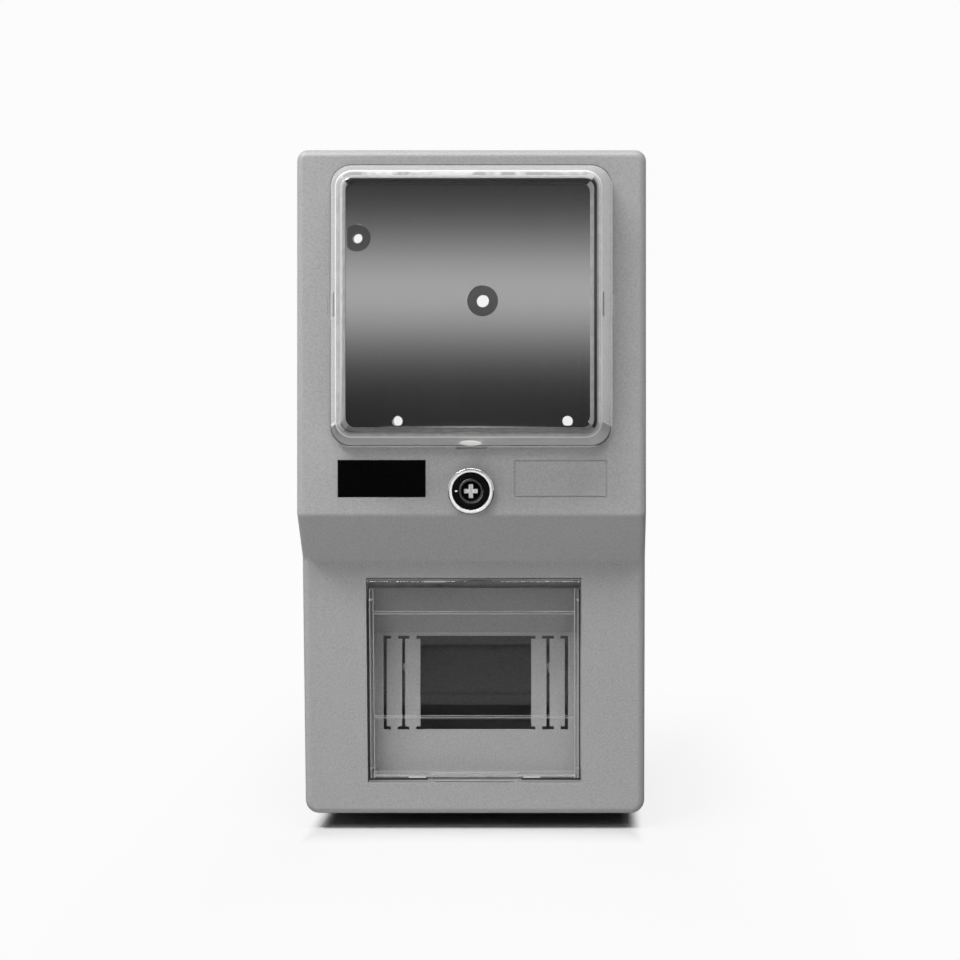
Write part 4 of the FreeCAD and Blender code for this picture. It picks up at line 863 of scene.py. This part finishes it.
class METERBOX_OT_door(MeterBoxOperator, bpy.types.Operator):
    """Dress the clear breaker door"""

    bl_idname = "meter_box.door"
    bl_label = "Breaker door"

    def execute(self, context):
        # Clear plastic, with painted highlight lines on the edges and painted dim shade.
        looks = {"clear": clear_polycarbonate(), "edge": painted_door_edge(), "dim": painted_dim_wall()}
        names = list(looks)
        door = smooth_copy("breaker_door", "clear_door", looks.values(), degrees=30)
        self.marks(door.data)
        door.data.polygons.foreach_set("material_index", self.shades(door.data, names))
        # Bevels along the sharp edges, in the painted highlight of the edge finish.
        edges = door.modifiers.new("bright edges", "BEVEL")
        edges.width = 0.4 * MM
        edges.segments = 2
        edges.limit_method = "ANGLE"
        edges.angle_limit = math.radians(40)
        edges.material = names.index("edge")
        door.modifiers.move(1, 0)
        return {"FINISHED"}

    def marks(self, mesh):
        """Painted light and shade: a dim foot wall behind the sheet, and lines where walls, ribs, tab, snaps
        and pivot end.

        The sheet is the largest face to the front, and each mark is a bar along its axes (right, up, out).
        """
        centre, normal, area = face_facts(mesh)
        sheet = np.argmax(np.where(normal[:, 1] < -FACING, area, 0))
        out = normal[sheet]
        start = centre[sheet] * (0, 1, 1)
        up = np.array([0, out[2], -out[1]])
        corners = np.empty(3 * len(mesh.vertices))
        mesh.vertices.foreach_get("co", corners)
        corners = corners.reshape(-1, 3) - start
        proud, height = corners @ out, corners @ up
        on_sheet = np.abs(proud) < 0.01 * MM
        side = np.abs(corners[on_sheet, 0]).max()
        low, high = height[on_sheet].min(), height[on_sheet].max()
        near_foot = height < low + 5 * MM
        back = proud[near_foot].min()
        hinge = np.array(JOINT_PLACE["door_hinge"]) - start
        hinge_out, hinge_up = hinge @ out, hinge @ up

        line = 0.3 * MM
        bead = (-0.1 * MM, 0.1 * MM)
        outer_wall, inner_wall = 0.8 * MM, 2.4 * MM
        inner = side - inner_wall
        wall_low, wall_high = low + 0.5 * MM, high - 1.5 * MM
        foot_rises = (1.7 * MM, 3.7 * MM)
        rib_z = (95.2 * MM, 45.9 * MM)
        tab_half, tab_rises = 20.5 * MM, (-0.5 * MM, 2.6 * MM)
        snap_start, snap_end = 23 * MM, 31 * MM
        snap_low, snap_high = low + 1 * MM, low + 1.5 * MM
        pivot_left, pivot_right = -23 * MM, -13.7 * MM
        pivot_low, pivot_high = hinge_up + 0.9 * MM, hinge_up + 1.5 * MM
        pivot_back, pivot_front = hinge_out + 1.2 * MM, hinge_out + 1.75 * MM
        # Dark beads of painted shade along the gap at the sides and at the foot.
        dark_edge = 0.45 * MM
        dark_foot_start, dark_foot = 22 * MM, 0.8 * MM
        foot_low, foot_high, foot_front = low + 0.15 * MM, low + 1.35 * MM, -0.3 * MM

        def level(half_width, place):
            """Line across the sheet at a height."""
            return (-half_width, half_width, place, place + line, *bead)

        uprights = [(sign * (side - inset), sign * (side - inset - line), wall_low, wall_high, *bead)
                    for sign in (-1, 1) for inset in (outer_wall, inner_wall)]
        levels = [level(inner, low + rise) for rise in foot_rises]
        ribs = [level(inner, (z - start[2]) / up[2]) for z in rib_z]
        tab = [level(tab_half, low + rise) for rise in tab_rises]
        # Bright bars of painted glint on the snaps and the pivot.
        snaps = [(sign * snap_start, sign * snap_end, snap_low, snap_high, *bead) for sign in (-1, 1)]
        pivot = [(pivot_left, pivot_right, pivot_low, pivot_high, pivot_back, pivot_front)]
        sides = [(sign * side, sign * (side - dark_edge), low, wall_high, *bead) for sign in (-1, 1)]
        feet = [(sign * dark_foot_start, sign * side, low, low + dark_foot, *bead) for sign in (-1, 1)]
        foot = [(-side, side, foot_low, foot_high, back, foot_front)]
        axes = (start, (1, 0, 0), up, out)
        # Painted highlight lines and glints, painted shade beads at the gap, and a foot wall of painted
        # shade.
        groups = (
            ("door_painted_lines", uprights + levels + ribs + tab, painted_door_edge()),
            ("door_painted_glints", snaps + pivot, painted_window_edge()),
            ("door_painted_gap_shade", sides + feet, painted_shade_polycarbonate()),
            ("door_painted_foot_shade", foot, painted_dim_wall()),
        )
        for name, rows, finish in groups:
            new_piece(name, *bars(rows, axes), [finish], "breaker_door")

    def shades(self, mesh, looks):
        """Painted light and shade on each face: inner side walls bright, outer ones, the foot and the back of
        the barrel dim.
        """
        centre, normal, area = face_facts(mesh)
        x, y, z = centre.T
        across, deep, up = normal.T
        wall_area = 20 * MM ** 2
        foot_height = 4 * MM
        barrel_radius = 2.2 * MM
        wall = (np.abs(across) > FACING) & (area > wall_area)
        hinge = JOINT_PLACE["door_hinge"]
        barrel = (np.hypot(y - hinge[1], z - hinge[2]) < barrel_radius) & (np.abs(across) < 0.5)
        upwards, backwards = up > 0.55, deep > 0.1
        foot = (up < -FACING) & (z < z.min() + foot_height)
        shade = np.zeros(len(area), np.int32)
        shade[wall & (across * x < 0)] = looks.index("edge")
        shade[wall & (across * x > 0) | foot | barrel & (upwards | backwards)] = looks.index("dim")
        return shade


class METERBOX_OT_lock(MeterBoxOperator, bpy.types.Operator):
    """Make the lock's bezel, key guide and plug, and dress the pieces behind the face"""

    bl_idname = "meter_box.lock"
    bl_label = "Cam lock"

    def execute(self, context):
        size = context.scene.meter_box_lock
        self.bezel(size)
        self.guide(size)
        self.plug(size)
        paint("lock_nut", turned_brass())
        for node in ("lock_circlip", "lock_cam", "cam_screw"):
            paint(node, zinc_plated_steel())
        return {"FINISHED"}

    def bezel(self, size):
        """Ring with a dish and a sleeve through the face: a section with rounded corners, carried round."""
        edge, sharp = 0.12 * MM, 0.05 * MM
        bore = size.plug_radius + 0.08 * MM
        section = rounded([
            (size.dish_radius, -size.bezel_proud), (size.bezel_radius, -size.bezel_proud),
            (size.bezel_radius, 0), (size.barrel_radius, 0), (size.barrel_radius, size.barrel_length),
            (bore, size.barrel_length), (bore, size.dish_floor), (size.dish_radius, size.dish_floor),
        ], [edge, size.bezel_round, sharp, sharp, edge, edge, edge, sharp])
        ring = new_piece("lock_bezel", *lathe(section, LOCK_CENTRE_Z), [polished_chrome()], "lock_barrel",
                         stands_for=True)
        keep_flats(ring)

    def guide(self, size):
        """Black ring in the dish, a section carried round, and a bright pip that marks its left."""
        edge, lead_in = 0.12 * MM, 0.35 * MM
        front = size.dish_floor - size.guide_height
        section = rounded([
            (size.guide_bore, front), (size.guide_radius, front),
            (size.guide_radius, size.dish_floor), (size.guide_bore, size.dish_floor),
        ], [lead_in, edge, edge, edge])
        new_piece("key_guide", *lathe(section, LOCK_CENTRE_Z), [moulded_nylon()], "lock_key_guide",
                  stands_for=True)
        pip_half_width, pip_half_height, pip_proud, pip_bevel = 0.6 * MM, 0.4 * MM, 0.4 * MM, 0.1 * MM
        pip_x = -6.7 * MM
        outline = rounded(rectangle(pip_half_width, pip_half_height), [edge] * 4)
        pip = prism(outline, front - pip_proud, front, pip_x, LOCK_CENTRE_Z, pip_bevel)
        new_piece("key_index", *pip, [polished_chrome()], "lock_barrel")

    def plug(self, size):
        """Turning plug with a bright cross, a blackened dish and a worn rim, told apart by their depth."""
        looks = {"cross": satin_chrome(), "dish": black_oxide(), "rim": worn_chrome()}
        names = list(looks)
        plug = smooth_copy("lock_plug", "turning_plug", looks.values(), degrees=30)
        centre, _, _ = face_facts(plug.data)
        rim_y = FACE_Y + size.plug_front
        same_plane = 0.05 * MM
        shade = np.full(len(centre), names.index("cross"), np.int32)
        shade[np.abs(centre[:, 1] - rim_y) < same_plane] = names.index("rim")
        shade[np.abs(centre[:, 1] - rim_y - size.plug_dish_depth) < same_plane] = names.index("dish")
        plug.data.polygons.foreach_set("material_index", shade)


class METERBOX_OT_fittings(MeterBoxOperator, bpy.types.Operator):
    """Dress the label, the meter plate, the rail, the keeper and the screws"""

    bl_idname = "meter_box.fittings"
    bl_label = "Fittings"

    def execute(self, context):
        zinc = zinc_plated_steel()
        paint("label_plate", label_laminate())
        paint("meter_plate", brushed_steel())
        paint("din_rail", passivated_steel())
        paint("keeper_plate", zinc)
        for name in ("meter_plate_screw", "din_rail_screw", "keeper_screw"):
            for count in (1, 2):
                smooth_copy(f"{name}_{count}", f"{name}_turned_{count}", [zinc])
        return {"FINISHED"}


class METERBOX_OT_stage(MeterBoxOperator, bpy.types.Operator):
    """Set the white table, the studio light and the camera"""

    bl_idname = "meter_box.stage"
    bl_label = "Stage"

    def execute(self, context):
        scene = context.scene
        setting = scene.meter_box_stage
        scene.view_settings.view_transform = "Standard"
        self.room(scene, setting)
        self.table(setting)
        self.reflectors(setting)
        self.lamps(scene, setting)
        self.camera(scene, setting)
        return {"FINISHED"}

    def room(self, scene, setting):
        """White for the eye and for what metal and clear plastic show, and a dim room for everything else."""
        world = bpy.data.worlds.new("studio")
        world.use_nodes = True
        scene.world = world
        tree = world.node_tree
        tree.nodes.clear()
        seen, mirrored, direct = ray_kinds(tree)
        shown = add_node(tree, "Math", links={0: seen, 1: mirrored}, operation="MAXIMUM")
        white = add_node(tree, "Math", links={0: shown, 1: direct}, operation="MULTIPLY")
        strength = add_node(tree, "MapRange", {"To Min": setting.ambient, "To Max": 1.0}, {"Value": white})
        sky = add_node(tree, "Background", {"Color": linear(setting.background)}, {"Strength": strength})
        add_node(tree, "OutputWorld", links={"Surface": sky})

    def stage_piece(self, name, points, faces, finish):
        """Mesh that belongs to the stage and not to the box."""
        mesh = bpy.data.meshes.new(name)
        mesh.from_pydata(points.tolist(), [], faces)
        coat(mesh, [finish])
        piece = bpy.data.objects.new(name, mesh)
        bpy.context.scene.collection.objects.link(piece)
        return piece

    def table(self, setting):
        """Wide table below the box, and a low block under the back of the box that leaves a gap before it."""
        paper = white_table()
        half_side = 4.0
        points = np.array([(x, y, -setting.gap) for x, y in rectangle(half_side, half_side)])
        self.stage_piece("table", points, [cap(0, 4)], paper)
        margin = 12 * MM
        clearance = 0.02 * MM
        gap_share = 0.75
        low, high = CAD_BOX
        front = low.y + gap_share * (high.y - low.y)
        box = (low.x + margin, high.x - margin, front, high.y - margin, -setting.gap, -clearance)
        self.stage_piece("block", *bars([box], ((0, 0, 0), (1, 0, 0), (0, 1, 0), (0, 0, 1))), paper)

    def reflectors(self, setting):
        """Upright cards before the box that only shiny surfaces see."""
        # Name, distance, left and right, low and high, brightness, and a bell's height and width.
        rows = (
            ("dark_room", -1.6, (-0.85, 0.6), (-0.6, 1.1), DARK_ROOM, None),
            ("strip_light", -1.445, (-0.76, 0.54), (0.13, 0.75), setting.strip, (0.322, 0.046)),
            ("low_card", -1.5, (-0.135, -0.035), (0.02, 0.12), 1.2, None),
        )
        for name, distance, (left, right), (low, high), strength, bell in rows:
            corners = ((left, low), (right, low), (right, high), (left, high))
            points = np.array([(x, distance, z) for x, z in corners])
            card = self.stage_piece(name, points, [cap(0, 4)], glowing_card(name, strength, bell))
            card.visible_camera = False
            card.visible_diffuse = False
            card.visible_transmission = False
            card.visible_shadow = False

    def lamps(self, scene, setting):
        """Two large softboxes high before the box, and a weak one lower down that metal doesn't mirror."""
        left_power = 0.62 * setting.high
        right_power = setting.high - left_power
        high_target, high_extent = (0.0, -0.04, 0.15), (1.5, 0.5)
        # Name, place, target, width and height, power, and if metal mirrors it.
        rows = (
            ("left_softbox", (-1.2, -1.0, 2.15), high_target, high_extent, left_power, True),
            ("right_softbox", (0.1, -1.1, 2.2), high_target, high_extent, right_power, True),
            ("front_softbox", (-0.55, -1.45, 0.95), (0.0, 0.0, 0.15), (1.0, 0.3), setting.front, False),
        )
        for name, place, target, extent, power, mirrored in rows:
            light = bpy.data.lights.new(name, "AREA")
            light.shape = "RECTANGLE"
            light.size, light.size_y = extent
            light.energy = power
            lamp = bpy.data.objects.new(name, light)
            lamp.location = place
            lamp.rotation_euler = look_along(np.array(target) - np.array(place))
            lamp.visible_transmission = False
            lamp.visible_glossy = mirrored
            scene.collection.objects.link(lamp)

    def camera(self, scene, setting):
        """Camera that looks level at the box, shifted so that its optical centre falls on its pixel."""
        off = np.array(setting.optical_centre) / FRAME_PX - 0.5
        lens = bpy.data.cameras.new("camera")
        lens.lens = setting.lens
        lens.sensor_width = SENSOR_MM
        lens.shift_x = -off[0]
        lens.shift_y = off[1]
        camera = bpy.data.objects.new("camera", lens)
        camera.location = setting.camera_place
        camera.rotation_euler = look_along(np.array([0.0, 1.0, 0.0]))
        scene.collection.objects.link(camera)
        scene.camera = camera


def look_along(direction):
    """Euler turn that points an object's -Z along a direction, with its Y upwards."""
    return Vector(direction.tolist()).to_track_quat("-Z", "Y").to_euler()


class METERBOX_PT_panel(bpy.types.Panel):
    """Lists the pieces of the meter box"""

    bl_idname = "METERBOX_PT_panel"
    bl_label = "Meter Box"
    bl_space_type = "VIEW_3D"
    bl_region_type = "UI"
    bl_category = "Meter Box"

    def draw(self, context):
        for operator in OPERATORS:
            self.layout.operator(operator.bl_idname)


GROUPS = (
    ("meter_box_window", WindowSizes),
    ("meter_box_lock", LockSizes),
    ("meter_box_finishes", Finishes),
    ("meter_box_stage", StageSettings),
)
OPERATORS = (
    METERBOX_OT_case, METERBOX_OT_window, METERBOX_OT_door, METERBOX_OT_lock, METERBOX_OT_fittings,
    METERBOX_OT_stage,
)


def register():
    for name, group in GROUPS:
        bpy.utils.register_class(group)
        setattr(bpy.types.Scene, name, PointerProperty(type=group))
    for operator in OPERATORS:
        bpy.utils.register_class(operator)
    bpy.utils.register_class(METERBOX_PT_panel)


def unregister():
    bpy.utils.unregister_class(METERBOX_PT_panel)
    for operator in reversed(OPERATORS):
        bpy.utils.unregister_class(operator)
    for name, group in reversed(GROUPS):
        delattr(bpy.types.Scene, name)
        bpy.utils.unregister_class(group)


def main():
    register()
    bpy.ops.meter_box.case()
    bpy.ops.meter_box.window()
    bpy.ops.meter_box.door()
    bpy.ops.meter_box.lock()
    bpy.ops.meter_box.fittings()
    bpy.ops.meter_box.stage()


if __name__ == "__main__":
    main()
